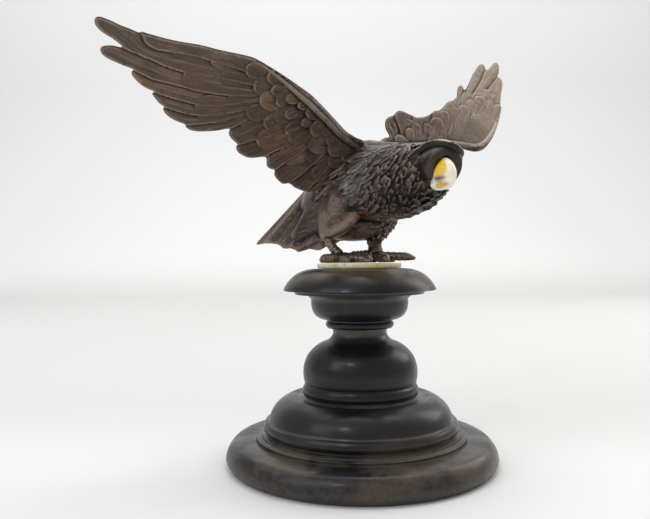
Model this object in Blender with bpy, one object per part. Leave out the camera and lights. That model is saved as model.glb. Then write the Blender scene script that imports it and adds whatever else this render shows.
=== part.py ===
"""A bronze eagle with raised wings on a turned, ebonised plinth.

The origin is the middle of the plinth's underside, and +Z is up. The eagle's heading is +X and -Y,
its right wing reaches -X and its left wing +X. Four pieces: plinth, disc, eagle and beak.
"""

import math

import bmesh
import bpy
import numpy as np

# Gap left between two pieces that touch
CLEARANCE = 0.0003

# Turned plinth, from the underside up: each moulding's radius and its own height
FOOT_RADIUS = 0.0750
FOOT_UNDERCUT = 0.0026
FOOT_ROUNDING = 0.0045
FOOT_HEIGHT = 0.0126
FOOT_CROWN = 0.0014
STEP_RADIUS = 0.0584
STEP_HEIGHT = 0.0016
LIP_RADIUS = 0.0556
LIP_HEIGHT = 0.0014
BAND_RADIUS = 0.0541
BAND_HEIGHT = 0.0065
BAND_GROOVE = 0.0014
DOME_RADIUS = 0.0510
DOME_TOP_RADIUS = 0.0393
DOME_HEIGHT = 0.0129
COLLAR_RADIUS = 0.0322
COLLAR_HEIGHT = 0.0062
BULB_RADIUS = 0.0318
BULB_SHOULDER_RADIUS = 0.0185
BULB_HEIGHT = 0.0241
NECK_RADIUS = 0.0150
NECK_HEIGHT = 0.0071
BEAD_RADIUS = 0.0191
BEAD_HEIGHT = 0.0042
OVOLO_RADIUS = 0.0272
OVOLO_HEIGHT = 0.0122
COVE_RADIUS = 0.0362
COVE_HEIGHT = 0.0045
CAP_RADIUS = 0.0427
CAP_HEIGHT = 0.0122
CAP_FLAT_RADIUS = 0.0262
# How far the turned curves stand out from, or sink below, a straight line between their ends
FINE_STEP = 0.0009
DOME_SWELL = 0.0024
BULB_SWELL = 0.0014
NECK_HOLLOW = 0.0006
OVOLO_BAND = 0.0030
OVOLO_SWELL = 0.0024
COVE_HOLLOW = 0.0014
CAP_SWELL = 0.0029
FOOT_WIDEST_SHARE = 0.34
BULB_WAIST_SHARE = 0.60
BULB_WAIST_RADIUS_SHARE = 0.94
NECK_WAIST_SHARE = 0.60
PLINTH_SIDES = 32

# Pale disc between the plinth and the bird's feet
DISC_RADIUS = 0.0236
DISC_THICKNESS = 0.0026
DISC_ROUNDING = 0.0006
DISC_SIDES = 28

# The eagle is 139 parts tall from its soles to the tip of its left wing. Its pose, its outline and
# its carving are shares of that height: every point and thickness below is in these parts, from
# the middle of the disc at the soles' level.
EAGLE_HEIGHT = 0.1390
PARTS_IN_HEIGHT = 139
PART = EAGLE_HEIGHT / PARTS_IN_HEIGHT
CAST_GRAIN = 0.62 * PART
EAGLE_FACES = 6300

# Trunk from the root of the tail to the neck: middle, half width, half height above and below
TRUNK = [
    (-33, 32, 25, 5, 5, 6),
    (-22, 23, 34, 13, 12, 14),
    (-9, 11, 43, 18, 17, 19),
    (3, 0, 45.5, 20, 21, 22),
    (14, -14, 44, 20, 20.5, 21),
    (24, -28, 43, 17, 18, 19),
    (31.5, -41, 44, 12.5, 13.5, 14.5),
    (36, -49, 46.5, 9.5, 10, 10),
]
# Head from the nape to the face, which turns towards -Y
HEAD = [
    (31.0, -41, 46.0, 7, 7.5, 8),
    (34.4, -47.5, 47.2, 8.9, 9.2, 10.2),
    (36.8, -54, 47.2, 9.7, 9.6, 11.0),
    (37.4, -59, 46.2, 9.0, 8.6, 10.4),
    (37.8, -61, 45.6, 6.6, 6.4, 8.6),
]
BROW = [
    (27.6, -47, 51.0, 1.2),
    (28.4, -52, 54.6, 1.7),
    (31.8, -57.0, 56.0, 1.9),
    (36.6, -60.4, 55.8, 2.0),
    (42.0, -60.2, 54.2, 2.0),
    (45.8, -56.4, 52.0, 1.9),
    (46.4, -51.2, 50.0, 1.2),
]
# Beak: where it leaves the face, which way it points, and its runs of middle (forward, up), half
# width and half height for the upper bill with its hook and for the lower bill
BEAK_ROOT = (36.4, -57.0, 41.8)
BEAK_WAY = (0.31, -0.95, -0.03)
UPPER_BILL = [
    (-3.0, 1.2, 5.5, 6.3), (1.0, 1.2, 5.6, 6.3), (4.4, 1.0, 5.4, 6.1), (7.8, -0.8, 4.3, 5.0),
    (9.8, -3.8, 2.7, 3.0), (9.9, -6.8, 1.0, 1.1),
]
LOWER_BILL = [
    (-3.0, -4.4, 4.7, 3.2), (1.0, -4.5, 4.7, 3.2), (4.2, -6.0, 3.6, 1.7), (6.4, -6.6, 1.6, 0.9),
]
SOCKET = [(-3.4, 0.0, 5.9, 8.0), (1.0, 0.0, 5.9, 8.1), (12.0, 0.0, 5.9, 8.3)]
BEAK_GRAIN = 0.40 * PART
BEAK_FACES = 560

RIGHT_THIGH = [
    (-1, -7, 50, 11, 10),
    (-8, -5, 37, 11.5, 9),
    (-14.5, -2.6, 25, 9.5, 6.6),
    (-18.4, -1.6, 16.5, 5, 4.0),
    (-18.6, -1.2, 12.8, 3, 3),
]
LEFT_THIGH = [
    (15, 2, 46, 11, 11),
    (13, 4, 32, 11, 12),
    (12, 6, 23.5, 9, 9.5),
    (9.8, 8.2, 16, 4.6, 5.6),
    (9.4, 8.6, 11.0, 3, 3.2),
]
RIGHT_SHANK = [(-18.6, -1.4, 16, 2.7), (-15.2, -4.6, 9.2, 2.6), (-11.4, -7.6, 4.6, 3.0)]
LEFT_SHANK = [(9.6, 8.6, 15, 3.9), (9.6, 8.4, 9.5, 3.9), (9.8, 7.6, 5, 4.9)]
RIGHT_FOOT = (-11.2, -8.0, 3.0)
LEFT_FOOT = (9.4, 7.6, 4.4)
RIGHT_TOES = [(-21.8, -8.4, 2.4, 3.0), (7.0, -9.6, 2.4, 3.2), (4.4, -19.6, 2.0, 2.8),
              (-6.5, -21.0, 2.0, 2.6)]
LEFT_TOES = [(-6.5, 3.6, 2.4, 4.0), (31.2, -3.6, 3.3, 2.7), (15.6, -9.8, 2.2, 3.0),
             (21.4, 14.0, 2.0, 2.8)]
CLAW_SHARE = 0.22
# Where each wing's arm grows out of the trunk: middle and half thickness
RIGHT_ARM = [(7, -6, 50, 9), (4, -9.5, 54, 7.5), (0, -13, 58, 5), (-3, -15, 60.5, 2.5)]
LEFT_ARM = [(9, -1, 50, 9), (14, 7, 58, 7), (20, 15, 65.5, 4.5), (27, 22, 71, 2)]

# Each wing is laid out flat: how far out along the span, and how far back towards the trailing edge.
# Its outline runs out along the leading edge and back along the feather tips. The flight lines are the
# trailing edges of its flight feathers, outermost first, each from its tip inwards. The ridge is the
# rounded leading edge: place, half width and height. A covert row is where its tips lie, outermost
# first, then how many feathers, their length, width and level.
RIGHT_WING = {
    "shoulder": (-5.7, -18, 64),
    "span": (-0.865, -0.334, 0.375),
    "facing": (0.02, -0.769, -0.639),
    "cup": 2.6,
    "outline": [
        (-14, 2), (-7.6, -6.1), (-1.1, -4.5), (4.0, -4.7), (9.3, -6.5), (17.1, -9.5), (24.7, -12.4),
        (31.1, -14.6),
        (38.0, -15.7), (44.2, -16.6), (53.0, -17.6), (62.6, -18.2), (67.8, -17.6), (80.7, -13.7),
        (90.1, -11.3),
        (98.9, -8.2), (105.8, -6.2), (113.8, -4.4), (116.3, -3.9), (117.6, -2.8), (121.6, -2.5),
        (126.3, -2.0),
        (132.0, -1.8), (136.2, -1.0), (137.5, 1.0), (136.6, 3.2), (134.2, 4.7), (131.1, 5.4),
        (127.0, 5.9),
        (122.6, 7.0), (122.6, 8.0), (126.4, 9.1), (130.1, 11.3), (130.8, 13.3), (129.4, 15.1),
        (126.5, 15.9),
        (122.0, 15.9), (117.7, 15.6), (113.6, 15.4), (114.0, 16.9), (112.8, 18.6), (109.2, 20.3),
        (105.5, 21.1),
        (100.8, 21.1), (101.3, 22.4), (99.8, 23.6), (96.5, 25.4), (93.7, 26.0), (93.4, 27.7),
        (90.6, 29.4),
        (86.0, 30.1), (81.0, 29.8), (79.7, 30.9), (76.6, 31.3), (72.3, 29.8), (65.7, 26.2),
        (59.6, 21.9),
        (58.9, 24.0), (56.7, 26.1), (52.4, 27.6), (52.1, 29.5), (50.0, 31.4), (45.8, 31.9),
        (42.0, 31.0),
        (37.0, 27.9), (35.3, 27.9), (34.3, 29.2), (33.3, 31.2), (31.3, 32.2), (28.0, 32.0),
        (27.0, 34.4),
        (24.1, 36.1), (20.4, 36.9), (17.4, 35.2), (14.0, 36.0), (10.6, 36.0), (7.2, 35.6),
        (2.0, 33.0), (-8, 27),
        (-16, 14),
    ],
    "flight": [
        [(122, -4.6), (116.5, -3.1), (114.3, -0.4), (111.2, 0.8), (107.8, 0.8), (103.5, -0.4),
         (94.6, -3.6),
         (87.7, -5.7), (80.3, -6.9), (73.1, -8.6), (58, -11)],
        [(140, 8.0), (122.1, 7.5), (115.7, 7.4), (108.4, 6.9), (100.8, 6.6), (93.5, 5.5),
         (86.5, 3.4), (77.2, 0.2),
         (65.3, -3.4), (54, -6)],
        [(130, 16.5), (113.2, 15.6), (103.8, 15.6), (96.4, 13.9), (90.6, 12.6), (83.3, 11.0),
         (76.1, 9.0),
         (69.0, 6.4), (56, 0)],
        [(115, 22), (100.3, 21.2), (92.6, 20.2), (87.7, 19.3), (80.4, 17.7), (73.3, 15.2),
         (64.7, 9.8), (52, 1)],
        [(104, 28), (93.5, 26.1), (82.8, 24.4), (75.7, 22.0), (69.1, 18.4), (62.8, 13.9), (50, 3)],
        [(92, 34), (80.6, 29.9), (72.0, 25.0), (64.0, 19.0), (57.0, 12.5), (46, 3)],
        [(66, 28), (59.2, 21.8), (55.8, 17.0), (52.6, 11.7), (48.6, 5.9), (42, -2)],
        [(57, 33), (51.7, 27.8), (45.0, 21.4), (38.1, 15.3), (30, 5)],
        [(42, 34), (36.5, 27.7), (32.8, 22.1), (29.1, 17.7), (23.9, 10.6), (18, 2)],
        [(31, 40), (27.8, 32.0), (24.0, 24.5), (20.5, 18.0), (16, 8)],
        [(20, 42), (17.1, 34.8), (14.1, 28.9), (11.5, 22.0), (8, 10)],
        [(8, 44), (6.5, 36), (4.5, 28), (2, 16)],
    ],
    "ridge": [
        (72, -15.8, 0.7, 0.2), (60, -17.0, 1.1, 0.9), (52, -16.2, 1.5, 1.6), (43, -14.5, 2.1, 2.2),
        (37, -13.0, 2.5, 2.6), (30, -11.4, 2.8, 2.9), (24, -9.6, 2.9, 3.1), (17, -7.4, 2.9, 3.3),
        (8, -4.2, 3.0, 3.6), (-1, -1.6, 3.6, 4.2), (-12, 0, 5, 5),
    ],
    "coverts": [
        ([(104, -4), (97.5, 3), (91.5, 10.8), (85.5, 17.0), (75.8, 20.6), (64, 17.6), (55, 15.5),
        (45, 21), (35, 22),
          (27, 24), (17, 27), (6, 28)], 13, 30, 8.5, 0.10),
        ([(82, -9.5), (76, -4.0), (71.0, 4.6), (66.5, 10.6), (58, 10.4), (49, 9.5), (41, 13.5),
        (32, 14.5),
          (23, 18), (13, 21), (2, 22)], 13, 22, 8.2, 0.20),
        ([(66, -12.0), (60.5, -6.0), (55, 0), (49, 4.2), (41, 6.5), (33, 8.2), (25, 11.5), (15, 15),
        (4, 16)],
         13, 14, 7.2, 0.34),
        ([(55, -12.0), (50.5, -7.0), (45.5, -2.0), (37, 0.5), (29, 2.8), (20, 7.5), (10, 10.5),
        (-1, 11)],
         13, 11, 6.2, 0.50),
        ([(44, -10.5), (38, -6.0), (30, -3.4), (21, 0.5), (11, 4.5), (0, 6.5)], 11, 9, 5.6, 0.66),
    ],
}
LEFT_WING = {
    "shoulder": (22, 18, 70),
    "span": (0.615, 0.570, 0.544),
    "facing": (0.451, -0.821, 0.350),
    "cup": 2.0,
    "outline": [
        (-12, -2), (-2, -8), (8, -13), (20, -19), (30, -24.0), (36.8, -26.8), (43.0, -30.0),
        (46.5, -34.0),
        (50.1, -37.6), (55, -39.0), (60.4, -39.0), (70, -37.6), (78.4, -35.3), (86.6, -32.6),
        (94.7, -28.9),
        (101.5, -24.5), (108.2, -20.7), (113, -18.4), (116.6, -16.6), (119.6, -14.0), (119.9, -11.6),
        (119.3, -9.6),
        (123.0, -8.4), (127.0, -5.9), (128.9, -3.4), (128.4, -1.6), (125.6, -0.9), (121.5, -1.4),
        (117.0, -1.6),
        (114.2, -0.9), (115.6, 1.2), (115.7, 3.4), (113.4, 4.4), (109.0, 4.2), (101.0, 2.6),
        (95.6, 0.9),
        (90.0, -0.8), (84.5, -2.3), (82.4, -1.6), (83.2, 0.4), (81.9, 2.0), (78.6, 1.6), (75.0, -0.6),
        (71.6, -2.4), (66.5, -2.6), (61.8, -1.4), (56.5, -1.8), (50.9, -2.1), (45.5, -0.4),
        (40.9, -0.3),
        (35.2, 0.8), (29.2, 3.7), (27.4, 6.2), (25.2, 9.2), (22.6, 12.2), (19.2, 13.6), (15.0, 13.0),
        (12.4, 13.6), (8.6, 14.0), (5.2, 12.6), (2.6, 9.6), (0.9, 4.8), (-4, 6), (-10, 5),
    ],
    "flight": [
        [(132, -8.5), (120.3, -9.6), (107.6, -11.0), (93.0, -12.6), (84.9, -14.0), (68, -18)],
        [(126, 0.5), (113.9, -0.8), (102.9, -4.1), (88.7, -7.4), (74.2, -10.3), (60, -15)],
        [(112, 6), (95.9, 1.0), (85.9, -2.4), (73.8, -6.3), (63.9, -9.8), (52, -14)],
        [(92, 2.5), (82.1, -2.0), (73.6, -5.4), (63.1, -9.4), (54.0, -12.0), (42, -16)],
        [(72, 4), (62.6, -1.8), (55.1, -5.8), (47.0, -9.3), (36, -14)],
        [(52, 5), (43.2, -0.4), (36.0, -5.4), (28.3, -9.0), (18, -14)],
        [(34, 12), (26.7, 5.4), (21.4, 0.9), (15.0, -3.3), (8, -8)],
        [(20, 20), (15.0, 13.0), (11, 5), (7, -2)],
    ],
    "ridge": [
        (112, -17.5, 0.7, 0.2), (96, -26.5, 1.0, 0.5), (80, -33.2, 1.6, 1.0), (66, -36.4, 2.2, 1.5),
        (55, -36.4, 2.6, 1.9), (48, -33.2, 3.0, 2.2), (38, -24.6, 3.2, 2.4), (26, -18.4, 3.6, 2.6),
        (12, -11.4, 4.0, 3.0), (-4, -4, 4.6, 4.0),
    ],
    "coverts": [
        ([(105, -20.5), (101, -15.5), (92.5, -11.5), (82, -8.4), (71, -6.6), (61, -5.4), (52, -5.0),
        (42, -3.8),
          (33, -1.0), (24, 4.5)], 13, 26, 7.5, 0.10),
        ([(96.6, -24), (95.0, -18.4), (88, -13.6), (78, -11.4), (68, -9.8), (57, -8.4), (47, -6.8),
        (37, -5.0),
          (27, -2.4), (17, 1.0), (8, 2)], 13, 18, 7.0, 0.24),
        ([(86, -27), (84.5, -22.0), (77, -17.0), (68, -14.6), (59, -12.8),
        (50.5, -11.0)], 8, 12, 6.6, 0.40),
        ([(76, -29), (73, -24.0), (66, -20.0), (58, -18.0), (51, -16)], 7, 10, 6.0, 0.55),
    ],
}

# Near half of the tail, from its lower edge up to its ridge; the far half mirrors it
TAIL_ROOTS = [(-6, -2, 31), (-11, 2, 36), (-15, 6, 40), (-19, 11, 43.5), (-23, 15, 45.5),
              (-26.5, 18.5, 46)]
TAIL_TIPS = [(-20, 0.5, 13), (-27.5, 5.5, 10.4), (-34.8, 13, 7.6), (-43.5, 22, 8.8), (-51, 36, 12.0),
             (-62.5, 49, 12.0)]
TAIL_MIDDLE = (-26.5, 18.5)
TAIL_SIDEWAYS = (0.65, 0.76)
TAIL_HALF_THICK = 1.1
TAIL_SCALLOP = 1.7
TAIL_STEP = 0.6
TAIL_CREASE = 1.0
# Other masses: the feathered belly between the legs, and the roll along the near flank's lower edge
BELLY = [(-20, 9, 25, 6, 8, 8), (-10, 7, 23.5, 9, 9, 11), (2, 6, 24.5, 11, 10, 12.2),
         (12, 4, 26, 10, 10, 10),
         (20, 2, 28, 5, 6, 6)]
FLANK_ROLL = [(-19.5, -2, 14.5, 1.4), (-14.5, -5, 16.8, 2.6), (-8.8, -7.5, 20.2, 3.0),
              (-3.5, -10, 25.5, 2.8),
              (0, -12, 31, 1.6)]
FLANK = [(4, -7, 48, 13, 11, 11), (-7, -4, 39, 14, 9.4, 9.4), (-16, 1, 30, 13, 6.2, 6.2),
         (-24, 6.5, 23, 11, 3.8, 3.8),
         (-32, 12, 16, 7, 2, 2)]


# Grid that fills a wing's outline, its thickness inside and at its border, and how much a feather's
# edges stand proud and sink
WING_GRID = 1.0
WING_HALF_THICK = 0.80
WING_BORDER_HALF = 0.36
WING_BORDER_WIDTH = 1.2
FEATHER_PROUD = 1.00
FEATHER_SUNK = 0.55
COVERT_COUNT_SHARE = 0.62
COVERT_WIDTH_SHARE = 1.5

# Ruffled neck and body feathers, in rings around the trunk
TUFT_ROWS = 11
TUFTS_AROUND = 12
TUFT_LENGTH = 8.5
TUFT_WIDTH = 6.5
TUFT_LIFT = 1.6


def unit(vector):
    vector = np.asarray(vector, float)
    return vector / np.linalg.norm(vector)


def smooth_rows(rows, count):
    """Rows of numbers made into a smooth run of count rows through them (Catmull-Rom)."""
    rows = np.asarray(rows, float)
    ends = np.vstack([2 * rows[0] - rows[1], rows, 2 * rows[-1] - rows[-2]])
    places = np.linspace(0, len(rows) - 1, count)
    k = np.minimum(places.astype(int), len(rows) - 2)
    t = (places - k)[:, None]
    a, b, c, d = ends[k], ends[k + 1], ends[k + 2], ends[k + 3]
    second, third = 2 * a - 5 * b + 4 * c - d, 3 * b - a - 3 * c + d
    return 0.5 * (2 * b + (c - a) * t + second * t**2 + third * t**3)


def along(points):
    """The direction of travel at each point of a run."""
    steps = np.gradient(np.asarray(points, float), axis=0)
    return steps / np.linalg.norm(steps, axis=1)[:, None]


def runs_inwards(rings):
    """Whether the first ring turns the wrong way round for a skin whose faces point outwards."""
    k = (len(rings) - 1) // 2
    ring = rings[k]
    onward = rings[k + 1].mean(axis=0) - ring.mean(axis=0)
    spin = np.cross(ring - ring.mean(axis=0), np.roll(ring, -1, axis=0) - ring.mean(axis=0)).sum(axis=0)
    return np.dot(spin, onward) < 0


class Shapes:
    """Closed shells gathered into one mesh, before they are fused."""

    def __init__(self):
        self.points = []
        self.faces = []

    def loft(self, rings):
        """A closed skin over rings of points, all of one count, capped at both ends."""
        rings = np.asarray(rings, float)
        if runs_inwards(rings):
            rings = rings[:, ::-1]
        rows, count = rings.shape[:2]
        first = len(self.points)
        self.points.extend(rings.reshape(-1, 3))
        for row in range(rows - 1):
            for k in range(count):
                here = first + row * count + k
                beside = first + row * count + (k + 1) % count
                self.faces.append((here, beside, beside + count, here + count))
        self.faces.append(tuple(first + k for k in reversed(range(count))))
        self.faces.append(tuple(first + (rows - 1) * count + k for k in range(count)))

    def tube(self, rows, reference, steps, count):
        """A tube along rows of (x, y, z, half width, half up, half down); up leans to reference."""
        rows = smooth_rows(rows, steps)
        ways = along(rows[:, :3])
        rings = []
        for row, way in zip(rows, ways):
            side = unit(np.cross(way, reference))
            up = np.cross(side, way)
            ring = []
            for angle in np.linspace(0, 2 * math.pi, count, endpoint=False):
                tall = row[4] if math.sin(angle) > 0 else row[-1]
                ring.append(row[:3] + side * row[3] * math.cos(angle) + up * tall * math.sin(angle))
            rings.append(ring)
        self.loft(rings)

    def blade(self, centres, normals, half_widths, thick, edge_thick):
        """A flat feather: a run of lens-shaped sections with a raised shaft down the middle."""
        ways = along(centres)
        rings = []
        for centre, way, normal, half in zip(centres, ways, normals, half_widths):
            side = unit(np.cross(way, normal))
            top = np.cross(side, way)
            ring = []
            for across, height in BLADE_SECTION:
                rise = edge_thick + (thick - edge_thick) * abs(height)
                ring.append(centre + side * half * across + top * math.copysign(rise, height))
            rings.append(ring)
        self.loft(rings)

    def skin(self, points, faces):
        """A ready closed skin: its points and its faces."""
        first = len(self.points)
        self.points.extend(points)
        self.faces.extend(tuple(first + corner for corner in face) for face in faces)

    def mesh(self, name):
        mesh = bpy.data.meshes.new(name)
        mesh.from_pydata([tuple(point * PART) for point in self.points], [], self.faces)
        return mesh


# How much narrower a bill is along its top than at its sides
BILL_KEEL = 0.38
# A feather's section: place across it, and height as a share of its thickness, upper side first
BLADE_SECTION = [
    (1.0, 0.02), (0.5, 0.6), (0.0, 1.0), (-0.5, 0.6), (-1.0, 0.02),
    (-1.0, -0.02), (-0.5, -0.6), (0.0, -1.0), (0.5, -0.6), (1.0, -0.02),
]


def feather_outline(steps):
    """Half width along a feather, as a share of its widest: narrow root, round tip."""
    t = np.linspace(0, 1, steps)
    t = 1 - (1 - t) ** 1.35
    root = 0.62 + 0.38 * np.clip(t / 0.45, 0, 1)
    tip = np.sqrt(np.clip(1 - (np.clip(t - 0.72, 0, 1) / 0.285) ** 2, 0.0, 1))
    return t, root * np.maximum(tip, 0.12)


def wing_place(wing):
    """A function from the flat wing (out, back, lift) to points in parts."""
    shoulder = np.array(wing["shoulder"], float)
    facing = unit(wing["facing"])
    span = unit(np.array(wing["span"]) - np.dot(wing["span"], facing) * facing)
    back = np.cross(facing, span)

    def place(out, aft, lift):
        out, aft, lift = (np.asarray(v, float)[:, None] for v in (out, aft, lift))
        cup = wing["cup"] * ((aft + 4) / 30) ** 2
        return shoulder + span * out + back * aft + facing * (lift + cup)

    return place


def line_distance(points, line):
    """For each point: the distance to a line of points, its side (left is positive), the distance
    along the line, the nearest place on it and the line's direction there."""
    line = np.asarray(line, float)
    count = len(points)
    best = np.full(count, np.inf)
    side, far = np.zeros(count), np.zeros(count)
    nearest, ways = np.zeros((count, 2)), np.zeros((count, 2))
    travelled = 0.0
    for start, end in zip(line[:-1], line[1:]):
        run = end - start
        length = np.linalg.norm(run)
        away = points - start
        t = np.clip(away @ run / length**2, 0, 1)
        foot = start + t[:, None] * run
        gap = np.linalg.norm(points - foot, axis=1)
        near = gap < best
        best[near] = gap[near]
        side[near] = np.sign(run[0] * away[near, 1] - run[1] * away[near, 0])
        far[near] = travelled + t[near] * length
        nearest[near] = foot[near]
        ways[near] = run / length
        travelled += length
    return best, side, far, nearest, ways


def inside_outline(points, outline):
    """Whether each point lies inside a closed outline."""
    inside = np.zeros(len(points), bool)
    for (x0, y0), (x1, y1) in zip(outline, np.roll(outline, -1, axis=0)):
        crosses = (y0 > points[:, 1]) != (y1 > points[:, 1])
        where = x0 + (points[:, 1] - y0) * (x1 - x0) / (y1 - y0 + 1e-12)
        inside ^= crosses & (points[:, 0] < where)
    return inside


def flat_grid(outline, step):
    """A grid of triangles that fills the outline, with its border points pulled onto the outline."""
    low, high = outline.min(axis=0) - step, outline.max(axis=0) + step
    columns, rows = np.ceil((high - low) / step).astype(int) + 1
    across, down = np.meshgrid(np.arange(columns), np.arange(rows))
    points = np.column_stack([across.ravel(), down.ravel()]) * step + low
    gap, _, _, nearest, _ = line_distance(points, np.vstack([outline, outline[:1]]))
    depth = np.where(inside_outline(points, outline), gap, -gap)
    pull = np.abs(depth) < 0.5 * step
    points[pull] = nearest[pull]
    depth[pull] = 0
    corner = (np.arange(columns - 1)[None, :] + np.arange(rows - 1)[:, None] * columns).ravel()
    lower = np.column_stack([corner, corner + 1, corner + columns + 1])
    upper = np.column_stack([corner, corner + columns + 1, corner + columns])
    triangles = np.vstack([lower, upper])
    kept = (depth[triangles] >= 0).all(axis=1)
    flat = (depth[triangles] == 0).all(axis=1)
    centres = points[triangles].mean(axis=1)
    kept[flat] &= inside_outline(centres[flat], outline)
    triangles = triangles[kept]
    used, triangles = np.unique(triangles, return_inverse=True)
    return points[used], depth[used], triangles.reshape(-1, 3)


def flight_relief(points, wing, outer_on_top):
    """Height of the overlapping flight feathers: each edge is proud on one side and sunk on the other."""
    found = [line_distance(points, smooth_rows(line, 30)) for line in wing["flight"]]
    signed = np.array([gap * side for gap, side, _, _, _ in found])
    owner = np.argmax(np.vstack([signed > 0, np.ones(len(points), bool)]), axis=0)
    last = len(found)
    columns = np.arange(len(points))
    trailing = np.where(owner < last, signed[np.minimum(owner, last - 1), columns], 9.0)
    leading = np.where(owner > 0, -signed[np.maximum(owner - 1, 0), columns], 9.0)
    proud, sunk = (trailing, leading) if outer_on_top else (leading, trailing)
    return FEATHER_PROUD * np.exp(-np.abs(proud) / 3.2) - FEATHER_SUNK * np.exp(-np.abs(sunk) / 1.2)


def add_coverts(points, wing, height):
    """Lays rows of short round-tipped feathers over the flight feathers, highest where they end."""
    lines = [smooth_rows(line, 30) for line in wing["flight"]]
    for tips, count, length, width, level in wing["coverts"]:
        places = smooth_rows(tips, round(count * COVERT_COUNT_SHARE))
        half = 0.62 * width * COVERT_WIDTH_SHARE
        found = [line_distance(places, line) for line in lines]
        pull = sum(way / (gap[:, None] ** 2 + 4) for gap, _, _, _, way in found)
        for tip, inward in zip(places, pull):
            way = -unit(inward)
            away = points - tip
            back = -(away @ way)
            off = away @ np.array([-way[1], way[0]])
            beyond = np.clip(half - back, 0, None) / half
            inner = (1 - np.sqrt(beyond**2 + (off / half) ** 2)) * half
            share = np.clip(1 - back / length, 0, 1)
            sunk = FEATHER_SUNK * np.exp(-np.clip(inner, 0, None) / 0.6)
            rise = level + FEATHER_PROUD * share**1.5 - sunk
            over = (inner > 0) & (back < length) & (rise > height)
            height[over] = rise[over]
    return height


def add_wing(shapes, wing):
    """The wing as one closed sheet: feathers on both faces, a rounded ridge and a thin border."""
    closed = np.array(wing["outline"] + wing["outline"][:1], float)
    outline = smooth_rows(closed, 3 * len(closed))[:-1]
    points, depth, triangles = flat_grid(outline, WING_GRID)
    ridge = smooth_rows(wing["ridge"], 40)
    gap, _, far, _, _ = line_distance(points, ridge[:, :2])
    lengths = np.concatenate([[0], np.cumsum(np.linalg.norm(np.diff(ridge[:, :2], axis=0), axis=1))])
    ridge_half = np.interp(far, lengths, ridge[:, 2])
    ridge_high = np.interp(far, lengths, ridge[:, 3])
    swell = WING_HALF_THICK + 0.28 * ridge_high * np.exp(-((gap / 9) ** 2))
    dome = ridge_high * np.sqrt(np.clip(1 - (gap / ridge_half) ** 2, 0, 1))
    border = np.clip(depth / WING_BORDER_WIDTH, 0, 1)
    place = wing_place(wing)
    sides = []
    for sign in (1, -1):
        height = add_coverts(points, wing, flight_relief(points, wing, sign > 0))
        full = np.maximum(swell + height, WING_BORDER_HALF + dome)
        lift = WING_BORDER_HALF + (full - WING_BORDER_HALF) * border
        sides.append(place(points[:, 0], points[:, 1], sign * lift))
    count = len(points)
    edges = np.vstack([triangles[:, [0, 1]], triangles[:, [1, 2]], triangles[:, [2, 0]]])
    inner = set(map(tuple, edges[:, ::-1].tolist()))
    rim = [edge for edge in map(tuple, edges.tolist()) if edge not in inner]
    walls = [(b, a, a + count, b + count) for a, b in rim]
    back = (triangles[:, ::-1] + count).tolist()
    shapes.skin(np.vstack(sides), triangles.tolist() + back + walls)


def add_tail(shapes):
    """The tail as one arched sheet of overlapping feathers, its near half mirrored to the far side."""
    feathers = len(TAIL_TIPS) - 1
    fine, steps = 8, 24
    count = feathers * fine + 1
    roots, tips = smooth_rows(TAIL_ROOTS, count), smooth_rows(TAIL_TIPS, count)
    place = np.linspace(0, feathers, count)
    length = np.linalg.norm(tips - roots, axis=1)
    tips = tips - (tips - roots) * (TAIL_SCALLOP * (1 - np.abs(np.cos(math.pi * place))) / length)[:, None]
    run = np.linspace(0, 1, steps)[:, None, None]
    near = roots + (tips - roots) * run
    sideways = np.array(TAIL_SIDEWAYS + (0,))
    reach = (near - np.array(TAIL_MIDDLE + (0,))) @ sideways
    far = near - 2 * reach[:, :, None] * sideways
    sheet = np.concatenate([near, far[:, -2::-1]], axis=1)
    across = np.gradient(sheet, axis=1)
    down = np.gradient(sheet, axis=0)
    normals = np.cross(across, down)
    normals /= np.linalg.norm(normals, axis=2)[:, :, None]
    normals *= np.where(normals[:, :, 2:] < 0, -1, 1)
    width = np.linalg.norm(np.gradient(near, axis=1), axis=2) * fine
    part = (place + 0.5) % 1
    height = TAIL_STEP * np.exp(-part * width / 2.4) - 0.8 * TAIL_STEP * np.exp(-(1 - part) * width / 0.9)
    below = (feathers - 0.5 - place) * width
    height = np.where(below > 0, height + TAIL_CREASE * np.exp(-np.clip(below, 0, None) / 9), 0)
    height = np.concatenate([height, height[:, -2::-1]], axis=1)
    taper = np.sqrt(np.clip((1.02 - run[:, :, 0]) / 0.06, 0.05, 1))
    top = sheet + normals * ((TAIL_HALF_THICK + height) * taper)[:, :, None]
    bottom = sheet - normals * (TAIL_HALF_THICK * taper)[:, :, None]
    shapes.loft(np.concatenate([top, bottom[:, ::-1]], axis=1))


def trunk_point(share, angle):
    """A point on the trunk's skin and the skin's outward direction there."""
    rows = smooth_rows(TRUNK, 41)
    k = min(int(share * 40), 39)
    row = rows[k] + (rows[k + 1] - rows[k]) * (share * 40 - k)
    way = unit(rows[k + 1, :3] - rows[k, :3])
    side = unit(np.cross(way, (0, 0, 1)))
    up = np.cross(side, way)
    tall = row[4] if math.sin(angle) > 0 else row[5]
    out = side * row[3] * math.cos(angle) + up * tall * math.sin(angle)
    return row[:3] + out, unit(out), way


def add_tufts(shapes):
    """Rows of short ruffled feathers that lie back along the trunk, each row half a step round."""
    for row in range(TUFT_ROWS):
        share = 0.30 + 0.60 * row / (TUFT_ROWS - 1)
        for k in range(TUFTS_AROUND):
            angle = 2 * math.pi * (k + 0.5 * (row % 2)) / TUFTS_AROUND
            point, out, way = trunk_point(share, angle)
            size = 1 - 0.35 * max(share - 0.6, 0) / 0.3
            t, outline = feather_outline(6)
            swell = out * (TUFT_LIFT * t[:, None] ** 1.5 - 0.6)
            centres = point - way * TUFT_LENGTH * size * (t[:, None] - 0.35) + swell
            shapes.blade(centres, [out] * len(t), outline * TUFT_WIDTH * size / 2, 1.2, 0.5)


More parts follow.
